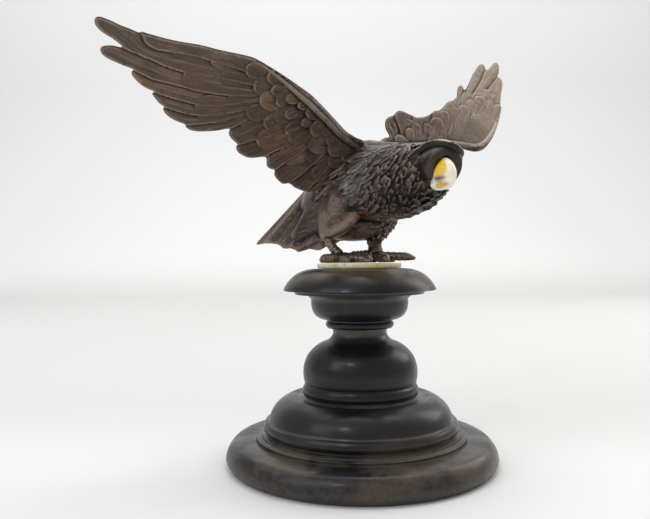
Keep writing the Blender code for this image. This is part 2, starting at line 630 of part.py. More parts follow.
def add_foot(shapes, middle, toes):
    """Toes from the middle of a foot, each with a short claw that curls down."""
    for x, y, z, half in toes:
        start, tip = np.array(middle, float), np.array((x, y, z), float)
        rows = []
        for t in (0, 0.3, 0.55, 1 - CLAW_SHARE, 0.93, 1):
            claw = max(t - 1 + CLAW_SHARE, 0) / CLAW_SHARE
            swell = half * (1 - 0.20 * t) * (1 - 0.68 * claw**1.5)
            point = start + (tip - start) * t
            high = max(0.86 * swell, point[2] - 0.9 * claw)
            rows.append((point[0], point[1], high, swell, swell, swell))
        shapes.tube(rows, (0, 0, 1), 12, 9)


def gather_eagle():
    """Every form of the casting, as closed shells that run into each other."""
    shapes = Shapes()
    shapes.tube(TRUNK, (0, 0, 1), 22, 24)
    shapes.tube(HEAD, (0, 0, 1), 9, 18)
    shapes.tube([(x, y, z, r, r, r) for x, y, z, r in BROW], (0, 0, 1), 18, 8)
    for arm in (RIGHT_ARM, LEFT_ARM):
        shapes.tube([(x, y, z, r, r, r) for x, y, z, r in arm], (0.72, -0.69, 0), 10, 16)
    for thigh in (RIGHT_THIGH, LEFT_THIGH):
        rows = [(x, y, z, across, deep, deep) for x, y, z, across, deep in thigh]
        shapes.tube(rows, (0.69, 0.72, 0), 12, 16)
    for shank in (RIGHT_SHANK, LEFT_SHANK):
        shapes.tube([(x, y, z, r, r, r) for x, y, z, r in shank], (0.69, 0.72, 0), 8, 10)
    shapes.tube(BELLY, (0, 0, 1), 14, 16)
    shapes.tube(FLANK, (0.69, 0.72, 0), 14, 16)
    shapes.tube([(x, y, z, r, r, r) for x, y, z, r in FLANK_ROLL], (0, 0, 1), 10, 10)
    add_foot(shapes, RIGHT_FOOT, RIGHT_TOES)
    add_foot(shapes, LEFT_FOOT, LEFT_TOES)
    add_tail(shapes)
    add_tufts(shapes)
    add_wing(shapes, RIGHT_WING)
    add_wing(shapes, LEFT_WING)
    return shapes


def bill_rings(stations, grow, lengthen):
    """Rings along one bill, square to its run; grow and lengthen are for the socket round it."""
    root, way = np.array(BEAK_ROOT, float), unit(BEAK_WAY)
    side = unit(np.cross(way, (0, 0, 1)))
    up = np.cross(side, way)
    rows = smooth_rows(stations, 11)
    rows[0, 0] -= lengthen
    runs = along(np.column_stack([rows[:, 0], np.zeros(len(rows)), rows[:, 1]]))
    rings = []
    for (forward, rise, half_width, half_height), run in zip(rows, runs):
        middle = root + way * forward + up * rise
        tall = up * run[0] - way * run[2]
        ring = []
        for angle in np.linspace(0, 2 * math.pi, 18, endpoint=False):
            narrow = 1 - BILL_KEEL * max(math.sin(angle), 0) ** 2
            across = (half_width * narrow + grow) * math.cos(angle)
            ring.append(middle + side * across + tall * (half_height + grow) * math.sin(angle))
        rings.append(ring)
    return rings


def cast_beak(material):
    """The upper bill with its hook and the lower bill, fused into one solid."""
    shapes = Shapes()
    shapes.loft(bill_rings(UPPER_BILL, 0, 0))
    shapes.loft(bill_rings(LOWER_BILL, 0, 0))
    return fused_object("beak", shapes, BEAK_GRAIN, BEAK_FACES, material)


def socket_mesh():
    """The socket for the beak: its root with the clearance all round, open to the front."""
    shapes = Shapes()
    gap = CLEARANCE / PART
    shapes.loft(bill_rings(SOCKET, gap, gap))
    return shapes.mesh("socket_cutter")


def bow(start, end, swell, steps):
    """Points from start to end (radius, height), bowed outwards by swell."""
    start, end = np.array(start, float), np.array(end, float)
    out = np.array([end[1] - start[1], start[0] - end[0]])
    out = out / np.linalg.norm(out)
    return [
        tuple(start + (end - start) * t + out * swell * 4 * t * (1 - t))
        for t in np.linspace(0, 1, steps + 1)
    ]


def plinth_profile():
    """The turned outline from the edge of the underside up to the edge of the flat top."""
    foot_top = FOOT_HEIGHT
    step_top = foot_top + FOOT_CROWN + STEP_HEIGHT
    lip_top = step_top + LIP_HEIGHT
    band_top = lip_top + BAND_HEIGHT
    dome_top = band_top + DOME_HEIGHT
    collar_top = dome_top + COLLAR_HEIGHT
    bulb_top = collar_top + BULB_HEIGHT
    neck_top = bulb_top + NECK_HEIGHT
    bead_top = neck_top + BEAD_HEIGHT
    ovolo_top = bead_top + OVOLO_HEIGHT
    cove_top = ovolo_top + COVE_HEIGHT
    cap_top = cove_top + CAP_HEIGHT
    foot_widest = FOOT_WIDEST_SHARE * FOOT_HEIGHT
    points = [(FOOT_RADIUS - FOOT_UNDERCUT, 0), (FOOT_RADIUS, foot_widest)]
    points += bow((FOOT_RADIUS, foot_widest), (FOOT_RADIUS - FOOT_ROUNDING, foot_top), FINE_STEP, 2)[1:]
    points += bow(points[-1], (STEP_RADIUS, foot_top + FOOT_CROWN), FINE_STEP / 2, 2)[1:]
    points += [(STEP_RADIUS, step_top), (LIP_RADIUS, step_top), (LIP_RADIUS, lip_top)]
    band_groove = BAND_RADIUS - BAND_GROOVE
    points += bow((band_groove, lip_top), (band_groove, band_top), BAND_GROOVE, 3)
    points += bow((DOME_RADIUS, band_top), (DOME_TOP_RADIUS, dome_top), DOME_SWELL, 4)
    points += [(COLLAR_RADIUS + FINE_STEP, dome_top - FINE_STEP)]
    collar_side = COLLAR_RADIUS - FINE_STEP
    points += bow((collar_side, dome_top), (collar_side, collar_top), FINE_STEP, 3)
    bulb_foot = collar_top + FINE_STEP
    bulb_waist = bulb_foot + BULB_WAIST_SHARE * BULB_HEIGHT
    waist_radius = BULB_WAIST_RADIUS_SHARE * BULB_RADIUS
    points += bow((BULB_RADIUS - FINE_STEP, bulb_foot), (waist_radius, bulb_waist), BULB_SWELL, 3)
    points += bow((waist_radius, bulb_waist), (BULB_SHOULDER_RADIUS, bulb_top), BULB_SWELL, 3)[1:]
    neck_waist = bulb_top + NECK_WAIST_SHARE * NECK_HEIGHT
    points += bow((BULB_SHOULDER_RADIUS, bulb_top), (NECK_RADIUS, neck_waist), -NECK_HOLLOW, 2)[1:]
    points += [(NECK_RADIUS + FINE_STEP / 2, neck_top)]
    points += bow((BEAD_RADIUS - FINE_STEP, neck_top), (BEAD_RADIUS - FINE_STEP, bead_top), FINE_STEP, 2)
    ovolo_band = ovolo_top - OVOLO_BAND
    points += bow((BEAD_RADIUS, bead_top + CLEARANCE), (OVOLO_RADIUS, ovolo_band), OVOLO_SWELL, 3)
    points += bow((OVOLO_RADIUS, ovolo_top), (COVE_RADIUS, cove_top - 2 * FINE_STEP), -COVE_HOLLOW, 3)
    points += [(COVE_RADIUS, cove_top)]
    points += bow((CAP_RADIUS, cove_top), (CAP_FLAT_RADIUS, cap_top), CAP_SWELL, 5)
    return points


def turned_object(name, points, sides, material):
    """A solid of revolution about Z, from an outline that runs down its outer side."""
    mesh = bpy.data.meshes.new(name)
    outline = [(0.0, 0.0, points[-1][1])]
    outline += [(radius, 0.0, height) for radius, height in reversed(points)]
    outline += [(0.0, 0.0, points[0][1])]
    mesh.from_pydata(outline, [(k, k + 1) for k in range(len(outline) - 1)], [])
    obj = add_object(name, mesh, material)
    screw = obj.modifiers.new("Turn", "SCREW")
    screw.steps = sides
    screw.render_steps = sides
    screw.use_merge_vertices = True
    screw.merge_threshold = 0.00001
    screw.use_smooth_shade = True
    return obj


def add_object(name, mesh, material):
    obj = bpy.data.objects.new(name, mesh)
    bpy.context.scene.collection.objects.link(obj)
    if material:
        mesh.materials.append(material)
    return obj


def add_material(name, colour, roughness, metallic):
    material = bpy.data.materials.new(name)
    material.use_nodes = True
    shader = material.node_tree.nodes["Principled BSDF"]
    shader.inputs["Base Color"].default_value = (*colour, 1)
    shader.inputs["Roughness"].default_value = roughness
    shader.inputs["Metallic"].default_value = metallic
    return material


def evaluated_copy(obj, name):
    """The object's mesh with its modifiers worked in, as a new mesh."""
    graph = bpy.context.evaluated_depsgraph_get()
    mesh = bpy.data.meshes.new_from_object(obj.evaluated_get(graph))
    mesh.name = name
    return mesh


def keep_outer_skin(mesh):
    """Drops every loose island but the largest, such as a pocket sealed inside the casting."""
    work = bmesh.new()
    work.from_mesh(mesh)
    work.verts.ensure_lookup_table()
    seen = set()
    islands = []
    for start in work.verts:
        if start.index in seen:
            continue
        island, queue = [], [start]
        seen.add(start.index)
        while queue:
            vert = queue.pop()
            island.append(vert)
            for edge in vert.link_edges:
                other = edge.other_vert(vert)
                if other.index not in seen:
                    seen.add(other.index)
                    queue.append(other)
        islands.append(island)
    islands.sort(key=len)
    for island in islands[:-1]:
        bmesh.ops.delete(work, geom=island, context="VERTS")
    work.to_mesh(mesh)
    work.free()


def box_mesh(name, low, high):
    mesh = bpy.data.meshes.new(name)
    work = bmesh.new()
    bmesh.ops.create_cube(work, size=1)
    for vert in work.verts:
        share = [value + 0.5 for value in vert.co]
        vert.co = [a + (b - a) * s for a, b, s in zip(low, high, share)]
    work.to_mesh(mesh)
    work.free()
    return mesh


def add_cutter(obj, name, mesh):
    cutter = add_object(name, mesh, None)
    cutter.parent = obj
    cutter.hide_render = True
    cutter.display_type = "WIRE"
    cut = obj.modifiers.new(name, "BOOLEAN")
    cut.operation = "DIFFERENCE"
    cut.solver = "EXACT"
    cut.object = cutter
    return cutter


def fused_object(name, shapes, grain, faces, material):
    """Fuses the shells into one skin, and thins the skin out to broad facets."""
    rough = add_object(name + "_forms", shapes.mesh(name + "_forms"), None)
    fuse = rough.modifiers.new("Fuse", "REMESH")
    fuse.mode = "VOXEL"
    fuse.voxel_size = grain
    skin = evaluated_copy(rough, name + "_skin")
    keep_outer_skin(skin)
    bpy.data.objects.remove(rough)
    dense = add_object(name + "_skin", skin, None)
    thin = dense.modifiers.new("Thin", "DECIMATE")
    thin.ratio = faces / sum(len(face.vertices) - 2 for face in skin.polygons)
    facets = evaluated_copy(dense, name)
    keep_outer_skin(facets)
    bpy.data.objects.remove(dense)
    facets.shade_smooth()
    return add_object(name, facets, material)


def main():
    for obj in list(bpy.data.objects):
        bpy.data.objects.remove(obj)

    ebony = add_material("ebonised_wood", (0.028, 0.025, 0.027), 0.38, 0.0)
    ivory = add_material("aged_ivory", (0.74, 0.66, 0.44), 0.38, 0.0)
    pale = add_material("pale_stone", (0.70, 0.65, 0.48), 0.45, 0.0)
    bronze = add_material("brown_bronze", (0.075, 0.054, 0.040), 0.42, 0.85)

    outline = plinth_profile()
    turned_object("plinth", outline, PLINTH_SIDES, ebony)
    disc_foot = outline[-1][1] + CLEARANCE
    disc_top = disc_foot + DISC_THICKNESS
    disc_outline = [
        (DISC_RADIUS - DISC_ROUNDING, disc_foot),
        (DISC_RADIUS, disc_foot + DISC_ROUNDING),
        (DISC_RADIUS, disc_top - DISC_ROUNDING),
        (DISC_RADIUS - DISC_ROUNDING, disc_top),
    ]
    turned_object("disc", disc_outline, DISC_SIDES, pale)

    soles = disc_top + CLEARANCE
    stand = bpy.data.objects.new("eagle_stand", None)
    stand.location = (0, 0, soles)
    bpy.context.scene.collection.objects.link(stand)
    eagle = fused_object("eagle", gather_eagle(), CAST_GRAIN, EAGLE_FACES, bronze)
    eagle.parent = stand
    reach = 100 * PART
    add_cutter(eagle, "sole_cutter", box_mesh("sole_cutter", (-reach, -reach, -reach), (reach, reach, 0)))
    add_cutter(eagle, "socket_cutter", socket_mesh())
    beak = cast_beak(ivory)
    beak.parent = stand


main()
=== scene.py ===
import math

import bmesh
import bpy
import numpy as np
from mathutils import Euler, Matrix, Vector
from mathutils.bvhtree import BVHTree
from mathutils.interpolate import poly_3d_calc


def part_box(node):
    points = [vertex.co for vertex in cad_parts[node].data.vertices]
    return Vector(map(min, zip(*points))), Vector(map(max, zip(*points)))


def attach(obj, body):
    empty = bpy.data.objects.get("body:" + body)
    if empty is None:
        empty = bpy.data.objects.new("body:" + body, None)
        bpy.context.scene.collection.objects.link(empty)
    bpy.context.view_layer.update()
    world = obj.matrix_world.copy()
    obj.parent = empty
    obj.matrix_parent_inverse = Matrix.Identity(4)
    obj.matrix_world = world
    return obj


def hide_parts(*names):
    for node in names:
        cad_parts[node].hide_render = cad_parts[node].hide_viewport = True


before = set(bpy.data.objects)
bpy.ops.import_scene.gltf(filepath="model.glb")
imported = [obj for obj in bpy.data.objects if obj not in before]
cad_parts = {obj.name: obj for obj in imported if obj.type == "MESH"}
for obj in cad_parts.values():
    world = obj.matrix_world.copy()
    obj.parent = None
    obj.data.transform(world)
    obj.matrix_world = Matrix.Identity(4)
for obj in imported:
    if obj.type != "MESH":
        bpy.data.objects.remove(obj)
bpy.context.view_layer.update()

DICE = np.random.RandomState(7)

# Camera, measured from the ellipses of the plinth's mouldings in the photograph
IMAGE_WIDTH = 650
FOCAL_PIXELS = 658
CAMERA_PLACE = (-0.0191, -0.3694, 0.1109)
CAMERA_TILT = math.radians(90.18)
CAMERA_ROLL = math.radians(-0.6)

# The eagle's own measure: it is 139 parts tall from its soles to its left wing tip
CLEARANCE = 0.0003
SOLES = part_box("disc")[1][2] + CLEARANCE
EAGLE_HEIGHT = 0.1390
PART = EAGLE_HEIGHT / 139
# Grain of the fused skins in parts, and the triangles they are thinned out to
CAST_GRAIN = 0.34
MASS_GRAIN = 0.7
BEAK_GRAIN = 0.16
EAGLE_TRIANGLES = 194000
BEAK_TRIANGLES = 30000
MASS_SMOOTHING = 70
# Relief on the wings and the body: how many, how steep and how high, in parts
WING_GRID = 0.42
FEATHER_STEP = 0.48
FEATHER_SLOPE = 3.2
SHAFT_HEIGHT = 0.16
BARB_SLANT = 1.3
WING_BORDER = 0.8
BODY_BARB, WING_BARB = 1.3, 1.1
DENTS = 110
HACKLE_RINGS, HACKLES_AROUND = 25, 40
LOCKS = 180
FLANK_FEATHER_ROWS = 15
QUILL_STEPS = 7
QUILL_POINTED = 0.55
# Directions that tubes and rows of feathers lean on
UP = (0, 0, 1)
HEADING = (0.72, -0.69, 0)
LEG_SIDE = (0.69, 0.72, 0)
FAR_SIDE = (0.64, 0.77, 0)

# Trunk, from the root of the tail to the neck, and head: middle, half width, half height above and
# below. Rows with four numbers are middle and radius; those of a thigh are middle, width and depth.
TRUNK = [
    (-33, 32, 25, 5, 5, 6),
    (-22, 23, 34, 13, 12, 14),
    (-9, 11, 43, 18, 17, 19),
    (3, 0, 45.5, 20, 21, 22),
    (14, -14, 44, 20, 20.5, 21),
    (24, -28, 43, 17, 18, 19),
    (31.5, -41, 44, 12.5, 13.5, 14.5),
    (36, -49, 46.5, 9.5, 10, 10),
]
HEAD = [
    (31.0, -41, 46.0, 7, 7.5, 8),
    (34.4, -47.5, 47.2, 8.9, 9.2, 10.2),
    (36.8, -54, 47.2, 9.7, 9.6, 11.0),
    (37.4, -59, 46.2, 9.0, 8.6, 10.4),
    (37.8, -61, 45.6, 6.6, 6.4, 8.6),
]
BROW = [
    (27.6, -47, 51.0, 1.2),
    (28.4, -52, 54.6, 1.7),
    (31.8, -57.0, 56.0, 1.9),
    (36.6, -60.4, 55.8, 2.0),
    (42.0, -60.2, 54.2, 2.0),
    (45.8, -56.4, 52.0, 1.9),
    (46.4, -51.2, 50.0, 1.2),
]
# The painted shade over the face round the beak and under the brow, the painted highlight on the brow's
# upper rim and the painted bluish sheens on the body
FACE_MIDDLE = (37.2, -57.0, 46.0)
FACE_REACH = 13.0
BROW_LIGHT = (0.0, -0.66, 0.75)
BROW_REACH = 4.2
PAINTED_SHEEN_SPOTS = [(6, -22, 47, 7), (-2, -16, 42, 6), (14, -24, 55, 5), (20, -14, 60, 7), (26, -30, 57, 5)]
HACKLE_TURN = (0.0, -0.25, -0.87)
EYES = [(30.2, -56.6, 50.4), (45.4, -57.0, 48.6)]
BEAK_ROOT = (36.4, -57.0, 41.8)
BEAK_WAY = (0.31, -0.95, -0.03)
# Bill and socket: how far forward, how high, half width and half height
UPPER_BILL = [
    (-3.0, 1.2, 5.5, 6.3), (1.0, 1.2, 5.8, 6.3), (4.4, 1.0, 5.7, 6.1), (7.8, -0.8, 4.6, 5.0),
    (9.8, -3.8, 2.7, 3.0), (9.9, -6.8, 1.0, 1.1),
]
LOWER_BILL = [
    (-3.0, -4.4, 4.7, 3.2), (1.0, -4.5, 4.7, 3.2), (4.2, -6.0, 3.6, 1.7), (6.4, -6.6, 1.6, 0.9),
]
SOCKET = [(-3.4, 0.0, 5.9, 8.0), (1.0, 0.0, 5.9, 8.1), (12.0, 0.0, 5.9, 8.3)]
BILL_KEEL = 0.40

# Legs, feet and the roots of the wings. A toe is its tip and half width.
RIGHT_THIGH = [
    (-1, -7, 50, 11, 10),
    (-8, -5, 37, 11.5, 9),
    (-14.5, -2.6, 25, 9.5, 6.6),
    (-18.4, -1.6, 16.5, 5, 4.0),
    (-18.6, -1.2, 12.8, 3, 3),
]
LEFT_THIGH = [
    (15, 2, 46, 11, 11),
    (13, 4, 32, 11, 12),
    (12, 6, 23.5, 9, 9.5),
    (9.8, 8.2, 16, 4.6, 5.6),
    (9.4, 8.6, 11.0, 3, 3.2),
]
RIGHT_SHANK = [(-18.6, -1.4, 16, 2.7), (-15.2, -4.6, 9.2, 2.6), (-11.4, -7.6, 4.6, 3.0)]
LEFT_SHANK = [(9.6, 8.6, 15, 3.9), (9.6, 8.4, 9.5, 3.9), (9.8, 7.6, 5, 4.9)]
RIGHT_FOOT = (-11.2, -8.0, 2.6)
LEFT_FOOT = (9.4, 7.6, 3.7)
RIGHT_TOES = [(-21.8, -8.4, 1.4, 3.1), (7.0, -9.6, 1.4, 3.3), (4.4, -19.6, 1.2, 2.8),
              (-6.5, -21.0, 1.2, 2.6)]
LEFT_TOES = [(-6.5, 3.6, 1.6, 4.2), (31.2, -3.6, 3.0, 2.8), (15.6, -9.8, 1.4, 3.0), (21.4, 14.0, 1.2, 2.8)]
CLAW_SHARE = 0.22
RIGHT_ARM = [(7, -6, 50, 9), (4, -9.5, 54, 7.5), (0, -13, 58, 5), (-3, -15, 60.5, 2.5)]
LEFT_ARM = [(9, -1, 50, 9), (14, 7, 58, 7), (20, 15, 65.5, 4.5), (27, 22, 71, 2)]

# Each wing is laid out flat: how far out along the span, and how far back towards the trailing edge.
# Its outline runs out along the leading edge and back along the feather tips. The flight lines are the
# trailing edges of its flight feathers, outermost first, each from its tip inwards. The ridge is the
# rounded leading edge: place, half width and height. A covert row is where its tips lie, outermost
# first, then how many feathers, their length, width, level and strength. Glow is how strongly the outer
# wing is painted light gold, a painted highlight. A ridge line is where it lies across the ridge, its
# width and its painted tone: painted highlight above 0, painted shade below 0.
RIDGE_LINES = [(-0.55, 0.16, 0.8), (0.0, 0.14, 0.9), (0.5, 0.14, -0.9), (-0.27, 0.12, -0.5)]
RIGHT_WING = {
    "shoulder": (-5.7, -18, 64),
    "span": (-0.865, -0.334, 0.375),
    "facing": (0.02, -0.769, -0.639),
    "cup": 2.6,
    "outline": [
        (-9, 2.5), (-7.0, -4.4), (-1.1, -4.5), (4.0, -4.7), (9.3, -6.5), (17.1, -9.5), (24.7, -12.4),
        (31.1, -14.6),
        (38.0, -15.7), (44.2, -16.6), (53.0, -17.6), (62.6, -18.2), (67.8, -17.6), (80.7, -13.7),
        (90.1, -11.3),
        (98.9, -8.2), (105.8, -6.2), (113.8, -4.4), (116.3, -3.9), (117.6, -2.8), (121.6, -2.5),
        (126.3, -2.0),
        (132.0, -1.8), (136.2, -1.0), (137.5, 1.0), (136.6, 3.2), (134.2, 4.7), (131.1, 5.4), (127.0, 5.9),
        (122.6, 7.0), (122.6, 8.0), (126.4, 9.1), (130.1, 11.3), (130.8, 13.3), (129.4, 15.1), (126.5, 15.9),
        (122.0, 15.9), (117.7, 15.6), (113.6, 15.4), (114.0, 16.9), (112.8, 18.6), (109.2, 20.3),
        (105.5, 21.1),
        (100.8, 21.1), (101.3, 22.4), (99.8, 23.6), (96.5, 25.4), (93.7, 26.0), (93.4, 27.7), (90.6, 29.4),
        (86.0, 30.1), (81.0, 29.8), (79.7, 30.9), (76.6, 31.3), (72.3, 29.8), (65.7, 26.2), (59.6, 21.9),
        (58.9, 24.0), (56.7, 26.1), (52.4, 27.6), (52.1, 29.5), (50.0, 31.4), (45.8, 31.9), (42.0, 31.0),
        (37.0, 27.9), (35.3, 27.9), (34.3, 29.2), (33.3, 31.2), (31.3, 32.2), (28.0, 32.0), (27.0, 34.4),
        (24.1, 36.1), (20.4, 36.9), (17.4, 35.2), (14.0, 36.0), (10.6, 36.0), (7.2, 35.6), (2.0, 33.0),
        (-5, 25),
        (-10, 14),
    ],
    "flight": [
        [(122, -4.6), (116.5, -3.1), (114.3, -0.4), (111.2, 0.8), (107.8, 0.8), (103.5, -0.4), (94.6, -3.6),
         (87.7, -5.7), (80.3, -6.9), (73.1, -8.6), (58, -11)],
        [(140, 8.0), (122.1, 7.5), (115.7, 7.4), (108.4, 6.9), (100.8, 6.6), (93.5, 5.5), (86.5, 3.4),
         (77.2, 0.2),
         (65.3, -3.4), (54, -6)],
        [(130, 16.5), (113.2, 15.6), (103.8, 15.6), (96.4, 13.9), (90.6, 12.6), (83.3, 11.0), (76.1, 9.0),
         (69.0, 6.4), (56, 0)],
        [(115, 22), (100.3, 21.2), (92.6, 20.2), (87.7, 19.3), (80.4, 17.7), (73.3, 15.2), (64.7, 9.8),
         (52, 1)],
        [(104, 28), (93.5, 26.1), (82.8, 24.4), (75.7, 22.0), (69.1, 18.4), (62.8, 13.9), (50, 3)],
        [(92, 34), (80.6, 29.9), (72.0, 25.0), (64.0, 19.0), (57.0, 12.5), (46, 3)],
        [(66, 28), (59.2, 21.8), (55.8, 17.0), (52.6, 11.7), (48.6, 5.9), (42, -2)],
        [(57, 33), (51.7, 27.8), (45.0, 21.4), (38.1, 15.3), (30, 5)],
        [(42, 34), (36.5, 27.7), (32.8, 22.1), (29.1, 17.7), (23.9, 10.6), (18, 2)],
        [(31, 40), (27.8, 32.0), (24.0, 24.5), (20.5, 18.0), (16, 8)],
        [(20, 42), (17.1, 34.8), (14.1, 28.9), (11.5, 22.0), (8, 10)],
        [(8, 44), (6.5, 36), (4.5, 28), (2, 16)],
    ],
    "ridge": [
        (72, -15.8, 0.7, 0.2), (60, -17.0, 1.1, 0.9), (52, -16.2, 1.5, 1.6), (43, -14.5, 2.1, 2.2),
        (37, -13.0, 2.5, 2.6), (30, -11.4, 2.8, 2.9), (24, -9.6, 2.9, 3.1), (17, -7.4, 2.9, 3.3),
        (8, -4.2, 3.0, 3.2), (-1, -2.0, 2.8, 2.2), (-7, -1, 2.2, 1.0),
    ],
    "coverts": [
        ([(104, -4), (97.5, 3), (91.5, 10.8), (85.5, 17.0), (75.8, 20.6), (64, 17.6), (55, 15.5),
          (45, 21), (35, 22),
          (27, 24), (17, 27), (6, 28)], 7, 34, 10.5, 0.04, 0.45),
        ([(82, -9.5), (76, -4.0), (71.0, 4.6), (66.5, 10.6), (58, 10.4), (49, 9.5), (41, 13.5), (32, 14.5),
          (23, 18), (13, 21), (2, 22)], 8, 24, 9.6, 0.12, 0.55),
        ([(66, -12.0), (60.5, -6.0), (55, 0), (49, 4.2), (41, 6.5), (33, 8.2), (25, 11.5), (15, 15),
          (4, 16)],
         9, 16, 8.4, 0.24, 0.75),
        ([(55, -12.0), (50.5, -7.0), (45.5, -2.0), (37, 0.5), (29, 2.8), (20, 7.5), (10, 10.5), (-1, 11)],
         10, 11, 7.4, 0.40, 0.85),
        ([(44, -10.5), (38, -6.0), (30, -3.4), (21, 0.5), (11, 4.5), (0, 6.5)], 8, 9, 6.6, 0.50, 0.6),
    ],
    "painted_glow": 0.16,
}
LEFT_WING = {
    "shoulder": (22, 18, 70),
    "span": (0.615, 0.570, 0.544),
    "facing": (0.451, -0.821, 0.350),
    "cup": 2.0,
    "outline": [
        (-12, -2), (-2, -8), (8, -13), (20, -19), (30, -24.0), (36.8, -26.8), (43.0, -30.0), (46.5, -34.0),
        (50.1, -37.6), (55, -39.0), (60.4, -39.0), (70, -37.6), (78.4, -35.3), (86.6, -32.6), (94.7, -28.9),
        (101.5, -24.5), (108.2, -20.7), (113, -18.4), (116.6, -16.6), (119.6, -14.0), (119.9, -11.6),
        (119.3, -9.6),
        (123.0, -8.4), (127.0, -5.9), (128.9, -3.4), (128.4, -1.6), (125.6, -0.9), (121.5, -1.4),
        (117.0, -1.6),
        (114.2, -0.9), (115.6, 1.2), (115.7, 3.4), (113.4, 4.4), (109.0, 4.2), (101.0, 2.6), (95.6, 0.9),
        (90.0, -0.8), (84.5, -2.3), (82.4, -1.6), (83.2, 0.4), (81.9, 2.0), (78.6, 1.6), (75.0, -0.6),
        (71.6, -2.4), (66.5, -2.6), (61.8, -1.4), (56.5, -1.8), (50.9, -2.1), (45.5, -0.4), (40.9, -0.3),
        (35.2, 0.8), (29.2, 3.7), (27.4, 6.2), (25.2, 9.2), (22.6, 12.2), (19.2, 13.6), (15.0, 13.0),
        (12.4, 13.6), (8.6, 14.0), (5.2, 12.6), (2.6, 9.6), (0.9, 4.8), (-4, 6), (-10, 5),
    ],
    "flight": [
        [(132, -8.5), (120.3, -9.6), (107.6, -11.0), (93.0, -12.6), (84.9, -14.0), (68, -18)],
        [(126, 0.5), (113.9, -0.8), (102.9, -4.1), (88.7, -7.4), (74.2, -10.3), (60, -15)],
        [(112, 6), (95.9, 1.0), (85.9, -2.4), (73.8, -6.3), (63.9, -9.8), (52, -14)],
        [(92, 2.5), (82.1, -2.0), (73.6, -5.4), (63.1, -9.4), (54.0, -12.0), (42, -16)],
        [(72, 4), (62.6, -1.8), (55.1, -5.8), (47.0, -9.3), (36, -14)],
        [(52, 5), (43.2, -0.4), (36.0, -5.4), (28.3, -9.0), (18, -14)],
        [(34, 12), (26.7, 5.4), (21.4, 0.9), (15.0, -3.3), (8, -8)],
        [(20, 20), (15.0, 13.0), (11, 5), (7, -2)],
    ],
    "ridge": [
        (112, -17.5, 0.7, 0.2), (96, -26.5, 1.0, 0.5), (80, -33.2, 1.6, 1.0), (66, -36.4, 2.2, 1.5),
        (55, -36.4, 2.6, 1.9), (48, -33.2, 3.0, 2.2), (38, -24.6, 3.2, 2.4), (26, -18.4, 3.6, 2.6),
        (12, -11.4, 4.0, 3.0), (-4, -4, 4.6, 4.0),
    ],
    "coverts": [
        ([(105, -20.5), (101, -15.5), (92.5, -11.5), (82, -8.4), (71, -6.6), (61, -5.4), (52, -5.0),
          (42, -3.8),
          (33, -1.0), (24, 4.5)], 10, 26, 8.5, 0.06, 0.8),
        ([(96.6, -24), (95.0, -18.4), (88, -13.6), (78, -11.4), (68, -9.8), (57, -8.4), (47, -6.8),
          (37, -5.0),
          (27, -2.4), (17, 1.0), (8, 2)], 12, 18, 7.6, 0.20, 1.5),
    ],
    "painted_glow": 0.95,
}

# Near half of the tail, from its lower edge up to its ridge; the far half mirrors it
TAIL_ROOTS = [(-6, -2, 31), (-11, 2, 36), (-15, 6, 40), (-19, 11, 43.5), (-23, 15, 45.5), (-26.5, 18.5, 46)]
TAIL_TIPS = [(-20, 0.5, 13), (-27.5, 5.5, 10.4), (-34.8, 13, 7.6), (-43.5, 22, 8.8), (-51, 36, 12.0),
             (-62.5, 49, 12.0)]
TAIL_MIDDLE = (-26.5, 18.5)
TAIL_SIDEWAYS = (0.65, 0.76)
TAIL_HALF_THICK = 1.0
TAIL_SCALLOP = 1.7
TAIL_STEP = 0.22
TAIL_CREASE = 1.0
TAIL_FINE = 22
TAIL_STEPS = 60
# Other masses: the feathered belly between the legs, and the roll along the near flank's lower edge
BELLY = [(-20, 9, 25, 6, 8, 8), (-10, 7, 23.5, 9, 9, 11), (2, 6, 24.5, 11, 10, 12.2),
         (12, 4, 26, 10, 10, 10),
         (20, 2, 28, 5, 6, 6)]
FLANK_ROLL = [(-19.5, -2, 14.5, 1.4), (-14.5, -5, 16.8, 2.6), (-8.8, -7.5, 20.2, 3.0),
              (-3.5, -10, 25.5, 2.8),
              (0, -12, 31, 1.6)]
FLANK = [(4, -7, 48, 13, 11, 11), (-7, -4, 39, 14, 10.2, 10.2), (-15, 1.5, 31, 14, 7.6, 7.6),
         (-23, 7.5, 24, 13, 4.6, 4.6), (-31, 13, 16, 10, 2.4, 2.4), (-38, 18, 11, 7, 1.6, 1.6)]
# The roll is laid in thicker than it shows, because the smoothing thins it
ROLL_GROWTH = 1.4
BACK = [(-4, -14, 61, 3), (3, -8, 63, 4.5), (10, -2, 63.6, 4.8), (17, 4, 62, 4.5), (22, 10, 62, 3)]


# Shapes


def unit(vector):
    vector = np.asarray(vector, float)
    return vector / np.linalg.norm(vector)


def smooth_rows(rows, count):
    """Rows of numbers made into a smooth run of count rows through them (Catmull-Rom)."""
    rows = np.asarray(rows, float)
    ends = np.vstack([2 * rows[0] - rows[1], rows, 2 * rows[-1] - rows[-2]])
    places = np.linspace(0, len(rows) - 1, count)
    k = np.minimum(places.astype(int), len(rows) - 2)
    t = (places - k)[:, None]
    a, b, c, d = ends[k], ends[k + 1], ends[k + 2], ends[k + 3]
    return 0.5 * (2 * b + (c - a) * t + (2 * a - 5 * b + 4 * c - d) * t**2 + (3 * b - a - 3 * c + d) * t**3)


def along(points):
    """The direction of travel at each point of a run."""
    steps = np.gradient(np.asarray(points, float), axis=0)
    return steps / np.linalg.norm(steps, axis=1)[:, None]


def round_rows(rows, grow=1.0):
    """Rows of (x, y, z, radius) as rows of a round tube."""
    return [(x, y, z) + (grow * r,) * 3 for x, y, z, r in rows]


def runs_inwards(rings):
    k = (len(rings) - 1) // 2
    ring = rings[k]
    onward = rings[k + 1].mean(axis=0) - ring.mean(axis=0)
    spin = np.cross(ring - ring.mean(axis=0), np.roll(ring, -1, axis=0) - ring.mean(axis=0)).sum(axis=0)
    return np.dot(spin, onward) < 0


